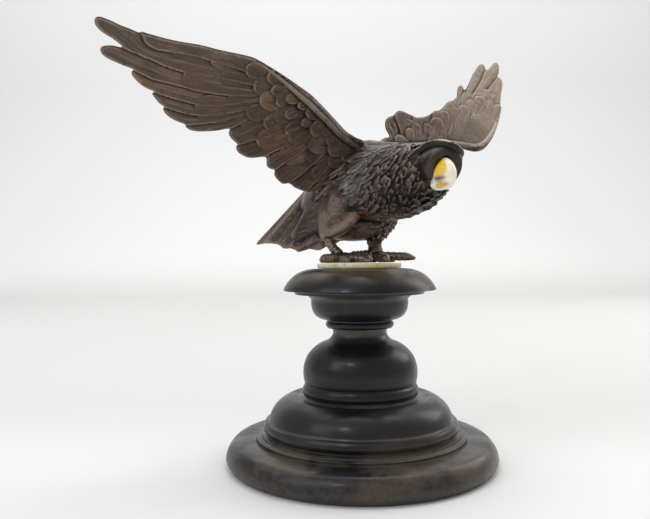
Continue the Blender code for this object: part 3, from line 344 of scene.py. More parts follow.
class Shapes:
    """Closed shells in one mesh; each point also says how far along and across a feather it is."""

    def __init__(self):
        self.points = []
        self.marks = []
        self.faces = []
        self.count = 0

    def loft(self, rings, marks=None):
        rings = np.asarray(rings, float)
        marks = np.zeros(rings.shape) if marks is None else marks
        if runs_inwards(rings):
            rings, marks = rings[:, ::-1], marks[:, ::-1]
        rows, count = rings.shape[:2]
        first = self.count
        self.points.append(rings.reshape(-1, 3))
        self.marks.append(marks.reshape(-1, 3))
        self.count += rows * count
        for row in range(rows - 1):
            for k in range(count):
                here = first + row * count + k
                beside = first + row * count + (k + 1) % count
                self.faces.append((here, beside, beside + count, here + count))
        self.faces.append(tuple(first + k for k in reversed(range(count))))
        self.faces.append(tuple(first + (rows - 1) * count + k for k in range(count)))

    def tube(self, rows, reference, steps, count, ripple=0, ripples=0):
        """A tube along rows of (x, y, z, half width, half up, half down); up leans to reference."""
        rows = smooth_rows(rows, steps)
        ways = along(rows[:, :3])
        angles = np.linspace(0, 2 * math.pi, count, endpoint=False)
        rings = []
        for k, (row, way) in enumerate(zip(rows, ways)):
            side = unit(np.cross(way, reference))
            up = np.cross(side, way)
            scale = 1 + ripple * math.cos(2 * math.pi * ripples * k / steps)
            tall = np.where(np.sin(angles) > 0, row[4], row[-1]) * scale
            rings.append(
                row[:3]
                + np.outer(np.cos(angles) * row[3] * scale, side)
                + np.outer(np.sin(angles) * tall, up)
            )
        self.loft(rings)

    def blade(self, centres, normals, half_widths, thick, edge_thick, roll):
        """A flat feather: lens-shaped sections with a raised shaft down the middle."""
        ways = along(centres)
        sides = np.cross(ways, normals)
        sides /= np.linalg.norm(sides, axis=1)[:, None]
        tops = np.cross(sides, ways)
        sides, tops = (
            sides * math.cos(roll) + tops * math.sin(roll),
            tops * math.cos(roll) - sides * math.sin(roll),
        )
        across, height = BLADE_SECTION[:, 0], BLADE_SECTION[:, 1]
        rise = np.sign(height) * (edge_thick + (thick - edge_thick) * np.abs(height))
        rings = (
            centres[:, None, :]
            + sides[:, None, :] * (half_widths[:, None] * across)[:, :, None]
            + tops[:, None, :] * rise[None, :, None]
        )
        lengths = np.concatenate([[0], np.cumsum(np.linalg.norm(np.diff(centres, axis=0), axis=1))])
        marks = np.zeros(rings.shape)
        marks[:, :, 0] = 1
        marks[:, :, 1] = lengths[:, None]
        marks[:, :, 2] = half_widths[:, None] * across[None, :]
        self.loft(rings, marks)

    def skin(self, points, faces):
        """A ready closed skin, with no feather marks."""
        self.points.append(points)
        self.marks.append(np.zeros(points.shape))
        self.faces.extend(tuple(self.count + corner for corner in face) for face in faces)
        self.count += len(points)

    def mesh(self, name):
        mesh = bpy.data.meshes.new(name)
        mesh.from_pydata(np.concatenate(self.points).tolist(), [], self.faces)
        return mesh


# Across a feather, and height as a share of its thickness, upper side first
BLADE_SECTION = np.array([
    (1.0, 0.02), (0.66, 0.42), (0.30, 0.62), (0.09, 0.74), (0.0, 1.0), (-0.09, 0.74), (-0.30, 0.62),
    (-0.66, 0.42), (-1.0, 0.02),
    (-1.0, -0.02), (-0.66, -0.42), (-0.30, -0.62), (-0.09, -0.74), (0.0, -1.0), (0.09, -0.74),
    (0.30, -0.62), (0.66, -0.42), (1.0, -0.02),
])


def feather_outline():
    """Half width along a feather, as a share of its widest: narrow root, fairly pointed tip."""
    t = np.linspace(0, 1, QUILL_STEPS)
    t = 1 - (1 - t) ** 1.35
    root = 0.62 + 0.38 * np.clip(t / 0.45, 0, 1)
    tip = np.sqrt(np.clip(1 - (np.clip(t - 0.72, 0, 1) / 0.285) ** 2, 0.0, 1))
    sharp = np.clip((1 - t) / 0.55, 0, 1)
    return t, root * np.maximum(tip * (1 - QUILL_POINTED) + sharp * QUILL_POINTED, 0.10)


def wing_place(wing):
    """A function from the flat wing (out, back, lift) to points in parts."""
    shoulder = np.array(wing["shoulder"], float)
    facing = unit(wing["facing"])
    span = unit(np.array(wing["span"]) - np.dot(wing["span"], facing) * facing)
    back = np.cross(facing, span)

    def place(out, aft, lift):
        out, aft, lift = (np.asarray(v, float)[:, None] for v in (out, aft, lift))
        cup = wing["cup"] * ((aft + 4) / 30) ** 2
        return shoulder + span * out + back * aft + facing * (lift + cup)

    return place


def line_distance(points, line):
    """For each point: the distance to a line of points, its side (left is positive), the distance
    along the line, the nearest place on it and the line's direction there."""
    line = np.asarray(line, float)
    count = len(points)
    best = np.full(count, np.inf)
    side, far = np.zeros(count), np.zeros(count)
    nearest, ways = np.zeros((count, 2)), np.zeros((count, 2))
    travelled = 0.0
    for start, end in zip(line[:-1], line[1:]):
        run = end - start
        length = np.linalg.norm(run)
        away = points - start
        t = np.clip(away @ run / length**2, 0, 1)
        foot = start + t[:, None] * run
        gap = np.linalg.norm(points - foot, axis=1)
        near = gap < best
        best[near] = gap[near]
        side[near] = np.sign(run[0] * away[near, 1] - run[1] * away[near, 0])
        far[near] = travelled + t[near] * length
        nearest[near] = foot[near]
        ways[near] = run / length
        travelled += length
    return best, side, far, nearest, ways


def inside_outline(points, outline):
    inside = np.zeros(len(points), bool)
    for (x0, y0), (x1, y1) in zip(outline, np.roll(outline, -1, axis=0)):
        crosses = (y0 > points[:, 1]) != (y1 > points[:, 1])
        where = x0 + (points[:, 1] - y0) * (x1 - x0) / (y1 - y0 + 1e-12)
        inside ^= crosses & (points[:, 0] < where)
    return inside


def flat_grid(outline, step):
    """A grid of triangles that fills the outline, with its border points pulled onto the outline."""
    low, high = outline.min(axis=0) - step, outline.max(axis=0) + step
    columns, rows = np.ceil((high - low) / step).astype(int) + 1
    across, down = np.meshgrid(np.arange(columns), np.arange(rows))
    points = np.column_stack([across.ravel(), down.ravel()]) * step + low
    gap, _, _, nearest, _ = line_distance(points, np.vstack([outline, outline[:1]]))
    depth = np.where(inside_outline(points, outline), gap, -gap)
    pull = np.abs(depth) < 0.5 * step
    points[pull] = nearest[pull]
    depth[pull] = 0
    corner = (np.arange(columns - 1)[None, :] + np.arange(rows - 1)[:, None] * columns).ravel()
    lower = np.column_stack([corner, corner + 1, corner + columns + 1])
    upper = np.column_stack([corner, corner + columns + 1, corner + columns])
    triangles = np.vstack([lower, upper])
    kept = (depth[triangles] >= 0).all(axis=1)
    flat = (depth[triangles] == 0).all(axis=1)
    centres = points[triangles].mean(axis=1)
    kept[flat] &= inside_outline(centres[flat], outline)
    triangles = triangles[kept]
    used, triangles = np.unique(triangles, return_inverse=True)
    return points[used], depth[used], triangles.reshape(-1, 3)


def flight_relief(points, wing, outer_on_top):
    """The overlapping flight feathers: height, barbs, painted light and shade (painted highlights on the
    proud edges and shafts, painted shade in the grooves), warmth, and how far across and along its feather
    each point is."""
    lines = [smooth_rows(line, 40) for line in wing["flight"]]
    found = [line_distance(points, line) for line in lines]
    signed = np.array([gap * side for gap, side, _, _, _ in found])
    far = np.array([each[2] for each in found])
    owner = np.argmax(np.vstack([signed > 0, np.ones(len(points), bool)]), axis=0)
    last = len(lines)
    columns = np.arange(len(points))
    trailing = np.where(owner < last, signed[np.minimum(owner, last - 1), columns], 9.0)
    leading = np.where(owner > 0, -signed[np.maximum(owner - 1, 0), columns], 9.0)
    travel = far[np.minimum(owner, last - 1), columns]
    proud, sunk = (trailing, leading) if outer_on_top else (leading, trailing)
    proud, sunk = np.abs(proud), np.abs(sunk)
    height = FEATHER_STEP * (np.exp(-proud / FEATHER_SLOPE) - 0.9 * np.exp(-sunk))
    width = np.minimum(trailing + leading, 14.0)
    off_shaft = leading - 0.46 * width
    shaft = np.exp(-((off_shaft / 0.55) ** 2)) * np.clip((width - 2) / 3, 0, 1)
    height += SHAFT_HEIGHT * shaft
    barbs = travel + BARB_SLANT * np.abs(off_shaft)
    # Painted highlight on proud edges and shafts, painted shade in the grooves between feathers
    painted_light_shade = 0.55 * np.exp(-proud / 0.5) - 0.95 * np.exp(-sunk / 0.7) + 0.15 * shaft
    warm = DICE.uniform(0, 1, last + 1)[owner] * np.exp(-sunk / 6)
    return [height, barbs, painted_light_shade, warm, off_shaft + 20.0 * owner, travel.copy()]


def add_coverts(points, wing, marks, sign):
    """Lays rows of short round-tipped feathers over the flight feathers, highest where they end."""
    height, barbs, painted_light_shade, warm, across, travel = marks
    underneath = height.copy()
    lines = [smooth_rows(line, 30) for line in wing["flight"]]
    for tips, count, length, width, level, strength in wing["coverts"]:
        places = smooth_rows(tips, count)
        found = [line_distance(places, line) for line in lines]
        pull = sum(way / (gap[:, None] ** 2 + 4) for gap, _, _, _, way in found)
        for place, inward in zip(places, pull):
            way = unit(-unit(inward) + DICE.uniform(-0.10, 0.10, 2))
            size = DICE.uniform(0.66, 1.28)
            half, reach = 0.62 * width * size, length * size
            tip = place + DICE.uniform(-2.3, 2.3, 2)
            from_middle = np.linalg.norm(points - tip + way * reach / 2, axis=1)
            near = np.flatnonzero(from_middle < reach * 0.75 + half)
            away = points[near] - tip
            back = -(away @ way)
            off = away @ np.array([-way[1], way[0]])
            round_part = half * 1.25
            beyond = np.clip(round_part - back, 0, None) / round_part
            body = half * np.clip(1.05 - 0.3 * back / reach, 0.5, 1)
            inner = (1 - np.sqrt(beyond**2 + (off / body) ** 2)) * half
            share = np.clip(1 - back / reach, 0, 1)
            force = strength * DICE.uniform(0.25, 1.15)
            lift = level + force * (0.60 * share**1.5 + 0.10 * (1 - (off / half) ** 2))
            lift -= 0.18 * force * np.exp(-np.clip(inner, 0, None) / 0.35)
            free = np.clip(share / 0.35, 0, 1)
            rise = lift * free + underneath[near] * (1 - free) + 0.001
            # Painted shadow that each covert casts just beyond its edge
            shadow = (inner <= 0) & (inner > -1.6) & (back < half)
            painted_light_shade[near[shadow]] -= 0.75 * min(force, 1) * np.exp(inner[shadow] / 0.6)
            over = (inner > 0) & (back < reach) & (rise > height[near])
            taken = near[over]
            height[taken] = rise[over]
            barbs[taken] = back[over] + BARB_SLANT * np.abs(off[over]) + 0.37 * sign
            fade = np.clip(share[over] / 0.6, 0, 1)
            # Painted highlight along the covert's tip
            edge_light = 0.75 * force * np.exp(-inner[over] / 0.5) * share[over]
            painted_light_shade[taken] = painted_light_shade[taken] * (1 - fade) + edge_light
            warm[taken] = warm[taken] * (1 - fade) + DICE.uniform(0, 1) ** 2 * fade
            across[taken] = off[over] + place[0]
            travel[taken] = back[over] + place[1]
    return marks


def wing_mesh(wing, name):
    """The wing as one closed sheet: relief on both faces, rounded ridge, thin rounded border."""
    closed = np.array(wing["outline"] + wing["outline"][:1], float)
    outline = smooth_rows(closed, 5 * len(closed))[:-1]
    points, depth, triangles = flat_grid(outline, WING_GRID * (1))
    ridge = smooth_rows(wing["ridge"], 60)
    gap, side, far, _, _ = line_distance(points, ridge[:, :2])
    lengths = np.concatenate([[0], np.cumsum(np.linalg.norm(np.diff(ridge[:, :2], axis=0), axis=1))])
    ridge_half = np.interp(far, lengths, ridge[:, 2])
    ridge_high = np.interp(far, lengths, ridge[:, 3])
    swell = 0.45 + 0.28 * ridge_high * np.exp(-((gap / 9) ** 2))
    dome = ridge_high * np.sqrt(np.clip(1 - (gap / ridge_half) ** 2, 0, 1))
    round_ridge = gap * side / ridge_half
    # Painted highlight lines and painted shade lines across the rounded ridge
    ridge_lines = sum(
        painted_light_shade * np.exp(-(((round_ridge - place) / width) ** 2)) for place, width, painted_light_shade in RIDGE_LINES
    )
    border = np.clip(depth / WING_BORDER, 0, 1)
    border = np.sqrt(1 - (1 - border) ** 2)
    sides = []
    for sign in (1, -1):
        marks = add_coverts(points, wing, flight_relief(points, wing, sign > 0), sign)
        height, barbs, painted_light_shade, warm, across, travel = marks
        for _ in range(DENTS):
            spot = (DICE.uniform(-8, 46), DICE.uniform(-10, 28))
            size = DICE.uniform(0.7, 3.0)
            squared = ((points - spot) ** 2).sum(axis=1)
            height += DICE.uniform(-0.12, 0.14) * size * np.exp(-squared / size**2)
        over = np.clip((dome - height - 0.2) / 0.6, 0, 1)
        full = np.maximum(swell + height, 0.2 + dome)
        # Painted ridge lines over the ridge, then painted shade along the wing's outline
        painted_light_shade = painted_light_shade * (1 - over) + over * ridge_lines
        painted_light_shade = painted_light_shade - 0.9 * np.exp(-depth / 0.5)
        lift = 0.12 + full * border
        sides.append((lift, barbs, 1 - over, np.clip(painted_light_shade, -1, 1), warm * (1 - over), across, travel, over))
    place = wing_place(wing)
    top = place(points[:, 0], points[:, 1], sides[0][0])
    bottom = place(points[:, 0], points[:, 1], -sides[1][0])
    count = len(points)
    flipped = triangles[:, ::-1] + count
    edges = np.vstack([triangles[:, [0, 1]], triangles[:, [1, 2]], triangles[:, [2, 0]]])
    keys = edges[:, 0].astype(np.int64) * count + edges[:, 1]
    back_keys = edges[:, 1].astype(np.int64) * count + edges[:, 0]
    rim = edges[~np.isin(keys, back_keys)]
    walls = [(b, a, a + count, b + count) for a, b in rim.tolist()]
    mesh = bpy.data.meshes.new(name)
    faces = triangles.tolist() + flipped.tolist() + walls
    mesh.from_pydata(np.vstack([top, bottom]).tolist(), [], faces)
    work = bmesh.new()
    work.from_mesh(mesh)
    if work.calc_volume(signed=True) < 0:
        bmesh.ops.reverse_faces(work, faces=work.faces)
    work.to_mesh(mesh)
    work.free()
    names = ("barbs", "feather", "painted_light_shade", "warm", "across", "travel", "ridge")
    return mesh, {name: np.concatenate([sides[0][k], sides[1][k]]) for k, name in enumerate(names, 1)}


def add_tail(shapes):
    """The tail as one arched sheet of overlapping feathers, its near half mirrored to the far side."""
    feathers = len(TAIL_TIPS) - 1
    count = feathers * TAIL_FINE + 1
    roots, tips = smooth_rows(TAIL_ROOTS, count), smooth_rows(TAIL_TIPS, count)
    place = np.linspace(0, feathers, count)
    length = np.linalg.norm(tips - roots, axis=1)
    tips = tips - (tips - roots) * (TAIL_SCALLOP * (1 - np.abs(np.cos(math.pi * place))) / length)[:, None]
    run = np.linspace(0, 1, TAIL_STEPS)[:, None, None]
    near = roots + (tips - roots) * run
    sideways = np.array(TAIL_SIDEWAYS + (0,))
    reach = (near - np.array(TAIL_MIDDLE + (0,))) @ sideways
    far = near - 2 * reach[:, :, None] * sideways
    sheet = np.concatenate([near, far[:, -2::-1]], axis=1)
    across = np.gradient(sheet, axis=1)
    down = np.gradient(sheet, axis=0)
    normals = np.cross(across, down)
    normals /= np.linalg.norm(normals, axis=2)[:, :, None]
    normals *= np.where(normals[:, :, 2:] < 0, -1, 1)
    width = np.linalg.norm(np.gradient(near, axis=1), axis=2) * TAIL_FINE
    part = (place + 0.5) % 1
    height = TAIL_STEP * np.exp(-part * width / 2.4) - 0.8 * TAIL_STEP * np.exp(-(1 - part) * width / 0.9)
    below = (feathers - 0.5 - place) * width
    height = np.where(below > 0, height + TAIL_CREASE * np.exp(-np.clip(below, 0, None) / 9), 0)
    off_shaft = (part - 0.5) * width
    height += 0.14 * np.exp(-((off_shaft / 0.5) ** 2))
    height = np.concatenate([height, height[:, -2::-1]], axis=1)
    off_shaft = np.concatenate([off_shaft, off_shaft[:, -2::-1]], axis=1)
    taper = np.sqrt(np.clip((1.02 - run[:, :, 0]) / 0.06, 0.05, 1))
    top = sheet + normals * ((TAIL_HALF_THICK + height) * taper)[:, :, None]
    bottom = sheet - normals * (TAIL_HALF_THICK * taper)[:, :, None]
    rings = np.concatenate([top, bottom[:, ::-1]], axis=1)
    marks = np.zeros(rings.shape)
    marks[:, :, 0] = 1
    marks[:, :, 1] = run[:, :, 0] * length.mean()
    marks[:, :, 2] = np.concatenate([off_shaft, off_shaft[:, ::-1]], axis=1)
    shapes.loft(rings, marks)


TRUNK_ROWS = smooth_rows(TRUNK, 81)


def trunk_point(share, angle):
    """A point on the trunk's skin, the skin's outward direction and the way forward there."""
    k = min(int(share * 80), 79)
    row = TRUNK_ROWS[k] + (TRUNK_ROWS[k + 1] - TRUNK_ROWS[k]) * (share * 80 - k)
    way = unit(TRUNK_ROWS[k + 1, :3] - TRUNK_ROWS[k, :3])
    side = unit(np.cross(way, UP))
    up = np.cross(side, way)
    tall = row[4] if math.sin(angle) > 0 else row[5]
    out = side * row[3] * math.cos(angle) + up * tall * math.sin(angle)
    return row[:3] + out, unit(out), way


def add_tuft(shapes, point, out, way, length, width, lift, thick):
    """One small feather on a point of the skin; it lies back against its way."""
    t, outline = feather_outline()
    swell = np.outer(lift * t**1.5 - 0.45, out)
    centres = point - np.outer(length * (t - 0.35), way) + swell
    roll = DICE.uniform(-0.35, 0.35)
    shapes.blade(centres, np.tile(out, (len(t), 1)), outline * width / 2, thick, 0.3, roll)


def hackle(shapes, share, angle, length, width, lift, thick):
    """One hackle on the trunk: it lies back and hangs down, the more so on the breast."""
    point, out, way = trunk_point(min(max(share, 0), 0.97), angle)
    front = min(max(share - 0.55, 0) / 0.25, 1)
    bend = 0.22 * math.sin(11 * share + 3 * angle) + 0.24 * DICE.uniform(-1, 1)
    drop = np.array(UP) - out * out[2]
    swerve = unit(way + (0.6 + 0.5 * front) * drop + bend * np.cross(way, out))
    add_tuft(shapes, point, out, swerve, length, width, lift * (1 - 0.75 * front), thick * (1 - 0.3 * front))


def add_tufts(shapes):
    """Ruffled hackles in rings over the trunk, each a little off its place, and larger locks among them."""
    for ring in range(HACKLE_RINGS):
        for k in range(HACKLES_AROUND):
            share = 0.30 + 0.66 * ring / (HACKLE_RINGS - 1)
            angle = 2 * math.pi * (k + 0.5 * (ring % 2) + DICE.uniform(-0.5, 0.5)) / HACKLES_AROUND
            size = (1 - 0.35 * max(share - 0.6, 0) / 0.3) * DICE.uniform(0.65, 1.3)
            lift = 0.7 * DICE.uniform(0, 1) ** 2 * min(max((share - 0.3) / 0.12, 0.2), 1)
            share += DICE.uniform(-0.03, 0.03)
            hackle(shapes, share, angle, 14 * size, 1.9 * size, lift, DICE.uniform(0.15, 0.36))
    for _ in range(LOCKS):
        share, angle = DICE.uniform(0.36, 0.96), DICE.uniform(0, 2 * math.pi)
        length, width, lift = DICE.uniform(11, 18), DICE.uniform(2.6, 5.5), DICE.uniform(0.7, 1.8)
        hackle(shapes, share, angle, length, width, lift, 0.6)


def add_nape_tufts(shapes):
    """Hackles that run up over the back of the head and down its cheeks."""
    rows = smooth_rows(HEAD, 31)
    ways = along(rows[:, :3])
    for k in range(0, 17, 2):
        for turn in np.arange(0, 2 * math.pi, 0.42):
            angle = turn + DICE.uniform(-0.2, 0.2)
            if math.sin(angle) > 0.35 and k > 6:
                continue
            side = unit(np.cross(ways[k], UP))
            up = np.cross(side, ways[k])
            tall = rows[k, 4] if math.sin(angle) > 0 else rows[k, 5]
            out = side * rows[k, 3] * math.cos(angle) + up * tall * math.sin(angle)
            way = unit(ways[k] + 0.3 * DICE.uniform(-1, 1) * up)
            add_tuft(shapes, rows[k, :3] + out, unit(out), way, 6 * DICE.uniform(0.7, 1.3), 2.2, 0.4, 0.45)


def add_mass_tufts(shapes, mass, upright, sign, length, facing=None):
    """Feathers round a thigh, the belly or the far flank, that lie along it one way or the other."""
    rows = smooth_rows(mass, 30)
    ways = along(rows[:, :3])
    for k in range(2, 27, 2):
        for angle in np.arange(0, 2 * math.pi, 0.33):
            turn = angle + DICE.uniform(-0.2, 0.2)
            side = unit(np.cross(ways[k], upright))
            up = np.cross(side, ways[k])
            out = side * rows[k, 3] * math.cos(turn) + up * rows[k, 4] * math.sin(turn)
            reach, lift = length * DICE.uniform(0.7, 1.3), DICE.uniform(0.0, 0.5)
            if facing and (unit(out) @ facing < 0 or k > FLANK_FEATHER_ROWS):
                continue
            add_tuft(shapes, rows[k, :3] + out, unit(out), sign * ways[k], reach, 2.4, lift, 0.4)


def add_foot(shapes, middle, toes):
    """Toes from the middle of a foot: knuckles along each, and a short claw that curls down."""
    for x, y, z, half in toes:
        start, tip = np.array(middle, float), np.array((x, y, z), float)
        rows = []
        for t in (0, 0.3, 0.55, 1 - CLAW_SHARE, 0.93, 1):
            claw = max(t - 1 + CLAW_SHARE, 0) / CLAW_SHARE
            swell = half * (1 - 0.20 * t) * (1 - 0.68 * claw**1.5)
            point = start + (tip - start) * t
            high = max(0.84 * swell, point[2] - 0.9 * claw)
            rows.append((point[0], point[1], high, swell, swell, swell))
        shapes.tube(rows, UP, 34, 14, 0.06, 9)


def blended_masses():
    """The large masses fused and smoothed, so that each flows into the next with a soft fillet."""
    shapes = Shapes()
    shapes.tube(TRUNK, UP, 40, 36)
    for arm in (RIGHT_ARM, LEFT_ARM, BACK):
        shapes.tube(round_rows(arm), HEADING, 16, 20)
    for thigh in (RIGHT_THIGH, LEFT_THIGH):
        rows = [(x, y, z, across, deep, deep) for x, y, z, across, deep in thigh]
        shapes.tube(rows, LEG_SIDE, 20, 24)
    shapes.tube(BELLY, UP, 30, 28)
    shapes.tube(FLANK, LEG_SIDE, 30, 28)
    shapes.tube(round_rows(FLANK_ROLL, ROLL_GROWTH), UP, 20, 18)
    rough = add_object("masses", shapes.mesh("masses"))
    fuse = rough.modifiers.new("Fuse", "REMESH")
    fuse.mode = "VOXEL"
    fuse.voxel_size = MASS_GRAIN
    soften = rough.modifiers.new("Soften", "SMOOTH")
    soften.factor = 0.5
    soften.iterations = MASS_SMOOTHING
    return evaluated_copy(rough, "masses")


def gather_eagle():
    shapes = Shapes()
    masses = blended_masses()
    shapes.skin(read_points(masses), [tuple(face.vertices) for face in masses.polygons])
    shapes.tube(HEAD, UP, 16, 30)
    shapes.tube(round_rows(BROW), UP, 30, 12)
    add_mass_tufts(shapes, LEFT_THIGH, LEG_SIDE, -1, 5.5)
    add_mass_tufts(shapes, BELLY, UP, 1, 7.0)
    add_mass_tufts(shapes, FLANK, LEG_SIDE, -1, 7.0, FAR_SIDE)
    for shank in (RIGHT_SHANK, LEFT_SHANK):
        shapes.tube(round_rows(shank), LEG_SIDE, 30, 14, 0.05, 7)
    for x, y, z in EYES:
        shapes.tube([(x + k * 1.4, y, z) + (1.5 - 1.2 * abs(k),) * 3 for k in (-1, 0, 1)], UP, 9, 12)
    add_foot(shapes, RIGHT_FOOT, RIGHT_TOES)
    add_foot(shapes, LEFT_FOOT, LEFT_TOES)
    add_nape_tufts(shapes)
    add_tail(shapes)
    add_tufts(shapes)
    return shapes


def bill_rings(stations, steps=17, sides=28):
    """Closed rings along the bill, narrower towards the ridge on top."""
    root, way = np.array(BEAK_ROOT, float), unit(BEAK_WAY)
    side = unit(np.cross(way, UP))
    up = np.cross(side, way)
    rows = smooth_rows(stations, steps)
    runs = along(np.column_stack([rows[:, 0], np.zeros(len(rows)), rows[:, 1]]))
    angles = np.linspace(0, 2 * math.pi, sides, endpoint=False)
    narrow = 1 - BILL_KEEL * (0.5 + 0.5 * np.sin(angles)) ** 1.5
    rings = []
    for (forward, rise, half_width, half_height), run in zip(rows, runs):
        middle = root + way * forward + up * rise
        tall = up * run[0] - way * run[2]
        rings.append(
            middle
            + np.outer(half_width * narrow * np.cos(angles), side)
            + np.outer(half_height * np.sin(angles), tall)
        )
    return rings


# Fusing


def add_object(name, mesh):
    obj = bpy.data.objects.new(name, mesh)
    bpy.context.scene.collection.objects.link(obj)
    return obj


def evaluated_copy(obj, name):
    graph = bpy.context.evaluated_depsgraph_get()
    mesh = bpy.data.meshes.new_from_object(obj.evaluated_get(graph))
    mesh.name = name
    bpy.data.objects.remove(obj)
    return mesh


def keep_largest_island(mesh):
    """Drops loose islands, such as a pocket sealed inside the casting, and keeps the largest."""
    count = len(mesh.vertices)
    ends = np.empty(len(mesh.edges) * 2, np.int32)
    mesh.edges.foreach_get("vertices", ends)
    ends = ends.reshape(-1, 2)
    label = np.arange(count)
    while True:
        low = np.minimum(label[ends[:, 0]], label[ends[:, 1]])
        new = label.copy()
        np.minimum.at(new, ends[:, 0], low)
        np.minimum.at(new, ends[:, 1], low)
        new = new[new]
        if np.array_equal(new, label):
            break
        label = new
    values, sizes = np.unique(label, return_counts=True)
    if len(values) == 1:
        return
    drop = np.flatnonzero(label != values[np.argmax(sizes)])
    work = bmesh.new()
    work.from_mesh(mesh)
    work.verts.ensure_lookup_table()
    bmesh.ops.delete(work, geom=[work.verts[int(k)] for k in drop], context="VERTS")
    work.to_mesh(mesh)
    work.free()


def fused_mesh(name, shapes, grain, triangles):
    """The shells fused into one skin, thinned out to at most that many triangles."""
    rough = add_object(name + "_forms", shapes.mesh(name + "_forms"))
    fuse = rough.modifiers.new("Fuse", "REMESH")
    fuse.mode = "VOXEL"
    fuse.voxel_size = grain
    skin = evaluated_copy(rough, name + "_skin")
    keep_largest_island(skin)
    total = sum(len(face.vertices) - 2 for face in skin.polygons)
    dense = add_object(name + "_skin", skin)
    if total > triangles:
        thin = dense.modifiers.new("Thin", "DECIMATE")
        thin.ratio = triangles / total
    return evaluated_copy(dense, name)


def cut(obj, cutter_mesh):
    cutter = add_object("cutter", cutter_mesh)
    boolean = obj.modifiers.new("Cut", "BOOLEAN")
    boolean.operation = "DIFFERENCE"
    boolean.solver = "MANIFOLD"
    boolean.object = cutter
    mesh = evaluated_copy(obj, obj.name)
    bpy.data.objects.remove(cutter)
    return mesh


def box_shapes(low, high):
    shapes = Shapes()
    (x0, y0, z0), (x1, y1, z1) = low, high
    corners = [(x0, y0), (x1, y0), (x1, y1), (x0, y1)]
    shapes.loft([[(x, y, z) for x, y in corners] for z in (z0, z1)])
    return shapes


def relief(mesh):
    """How far each point stands above its surroundings, near and wider; hollows are below 0."""
    points = read_points(mesh)
    count = len(points)
    normals = np.empty(count * 3)
    mesh.vertex_normals.foreach_get("vector", normals)
    normals = normals.reshape(-1, 3)
    ends = np.empty(len(mesh.edges) * 2, np.int32)
    mesh.edges.foreach_get("vertices", ends)
    a, b = ends.reshape(-1, 2).T
    degree = np.bincount(a, minlength=count) + np.bincount(b, minlength=count)

    def spread(values):
        total = np.zeros_like(values)
        np.add.at(total, a, values[b])
        np.add.at(total, b, values[a])
        return total / np.maximum(degree, 1).reshape(-1, *([1] * (values.ndim - 1)))

    smooth = points.copy()
    for _ in range(2):
        smooth = spread(smooth)
    proud = ((points - smooth) * normals).sum(axis=1)
    proud = spread(proud)
    wide = smooth.copy()
    for _ in range(10):
        wide = spread(wide)
    broad = ((points - wide) * normals).sum(axis=1)
    return proud, broad


def read_points(mesh):
    points = np.empty(len(mesh.vertices) * 3)
    mesh.vertices.foreach_get("co", points)
    return points.reshape(-1, 3)


def set_attribute(mesh, name, values):
    layer = mesh.attributes.new(name, "FLOAT", "POINT")
    layer.data.foreach_set("value", np.asarray(values, np.float32))


def carry_marks(mesh, shapes):
    """Copies each feather's marks from the loose shells to the nearest points of the fused skin."""
    points = np.concatenate(shapes.points)
    marks = np.concatenate(shapes.marks)
    vectors = [Vector(point) for point in points]
    tree = BVHTree.FromPolygons(vectors, shapes.faces)
    found = np.zeros((len(mesh.vertices), 3))
    for k, vert in enumerate(mesh.vertices):
        place, _, face, _ = tree.find_nearest(vert.co)
        corners = shapes.faces[face]
        weights = poly_3d_calc([vectors[c] for c in corners], place)
        found[k] = np.dot(weights, marks[list(corners)])
    return found


# Materials


class Nodes:
    """A material's nodes, laid out from short calls."""

    def __init__(self, name):
        self.material = bpy.data.materials.new(name)
        self.material.use_nodes = True
        self.tree = self.material.node_tree
        self.shader = self.tree.nodes["Principled BSDF"]
        self.place = self.add("ShaderNodeTexCoord").outputs["Object"]

    def add(self, kind, **settings):
        node = self.tree.nodes.new(kind)
        for key, value in settings.items():
            setattr(node, key, value)
        return node

    def link(self, source, target):
        if isinstance(source, (int, float, tuple)):
            target.default_value = source
        else:
            self.tree.links.new(source, target)

    def noise(self, scale, detail=4, roughness=0.5, stretch=None, turn=None):
        node = self.add("ShaderNodeTexNoise")
        node.inputs["Scale"].default_value = scale
        node.inputs["Detail"].default_value = detail
        node.inputs["Roughness"].default_value = roughness
        source = self.place
        if turn:
            mapping = self.add("ShaderNodeMapping", vector_type="TEXTURE")
            mapping.inputs["Scale"].default_value = stretch
            mapping.inputs["Rotation"].default_value = turn
            self.link(source, mapping.inputs["Vector"])
            source = mapping.outputs["Vector"]
        elif stretch:
            mapping = self.add("ShaderNodeMapping")
            mapping.inputs["Scale"].default_value = stretch
            self.link(source, mapping.inputs["Vector"])
            source = mapping.outputs["Vector"]
        self.link(source, node.inputs["Vector"])
        return node.outputs["Fac"]

    def maths(self, operation, a, b=0.0, c=0.0):
        node = self.add("ShaderNodeMath", operation=operation)
        self.link(a, node.inputs[0])
        self.link(b, node.inputs[1])
        self.link(c, node.inputs[2])
        return node.outputs[0]

    def times(self, a, b):
        return self.maths("MULTIPLY", a, b)

    def ramp(self, value, low, high, out_low=0.0, out_high=1.0):
        node = self.add("ShaderNodeMapRange", interpolation_type="SMOOTHSTEP")
        names = ("Value", "From Min", "From Max", "To Min", "To Max")
        for name, source in zip(names, (value, low, high, out_low, out_high)):
            self.link(source, node.inputs[name])
        return node.outputs["Result"]

    def mix(self, share, first, second):
        node = self.add("ShaderNodeMix", data_type="RGBA")
        self.link(share, node.inputs[0])
        self.link((*first, 1) if isinstance(first, tuple) else first, node.inputs[6])
        self.link((*second, 1) if isinstance(second, tuple) else second, node.inputs[7])
        return node.outputs[2]

    def attribute(self, name):
        return self.add("ShaderNodeAttribute", attribute_name=name).outputs["Fac"]

    def bump(self, height, distance, strength=1.0, after=None):
        node = self.add("ShaderNodeBump")
        node.inputs["Distance"].default_value = distance
        node.inputs["Strength"].default_value = strength
        self.link(height, node.inputs["Height"])
        if after is not None:
            self.link(after, node.inputs["Normal"])
        return node.outputs["Normal"]

    def finish(self, **inputs):
        for name, value in inputs.items():
            self.link(value, self.shader.inputs[name.replace("_", " ")])
        return self.material
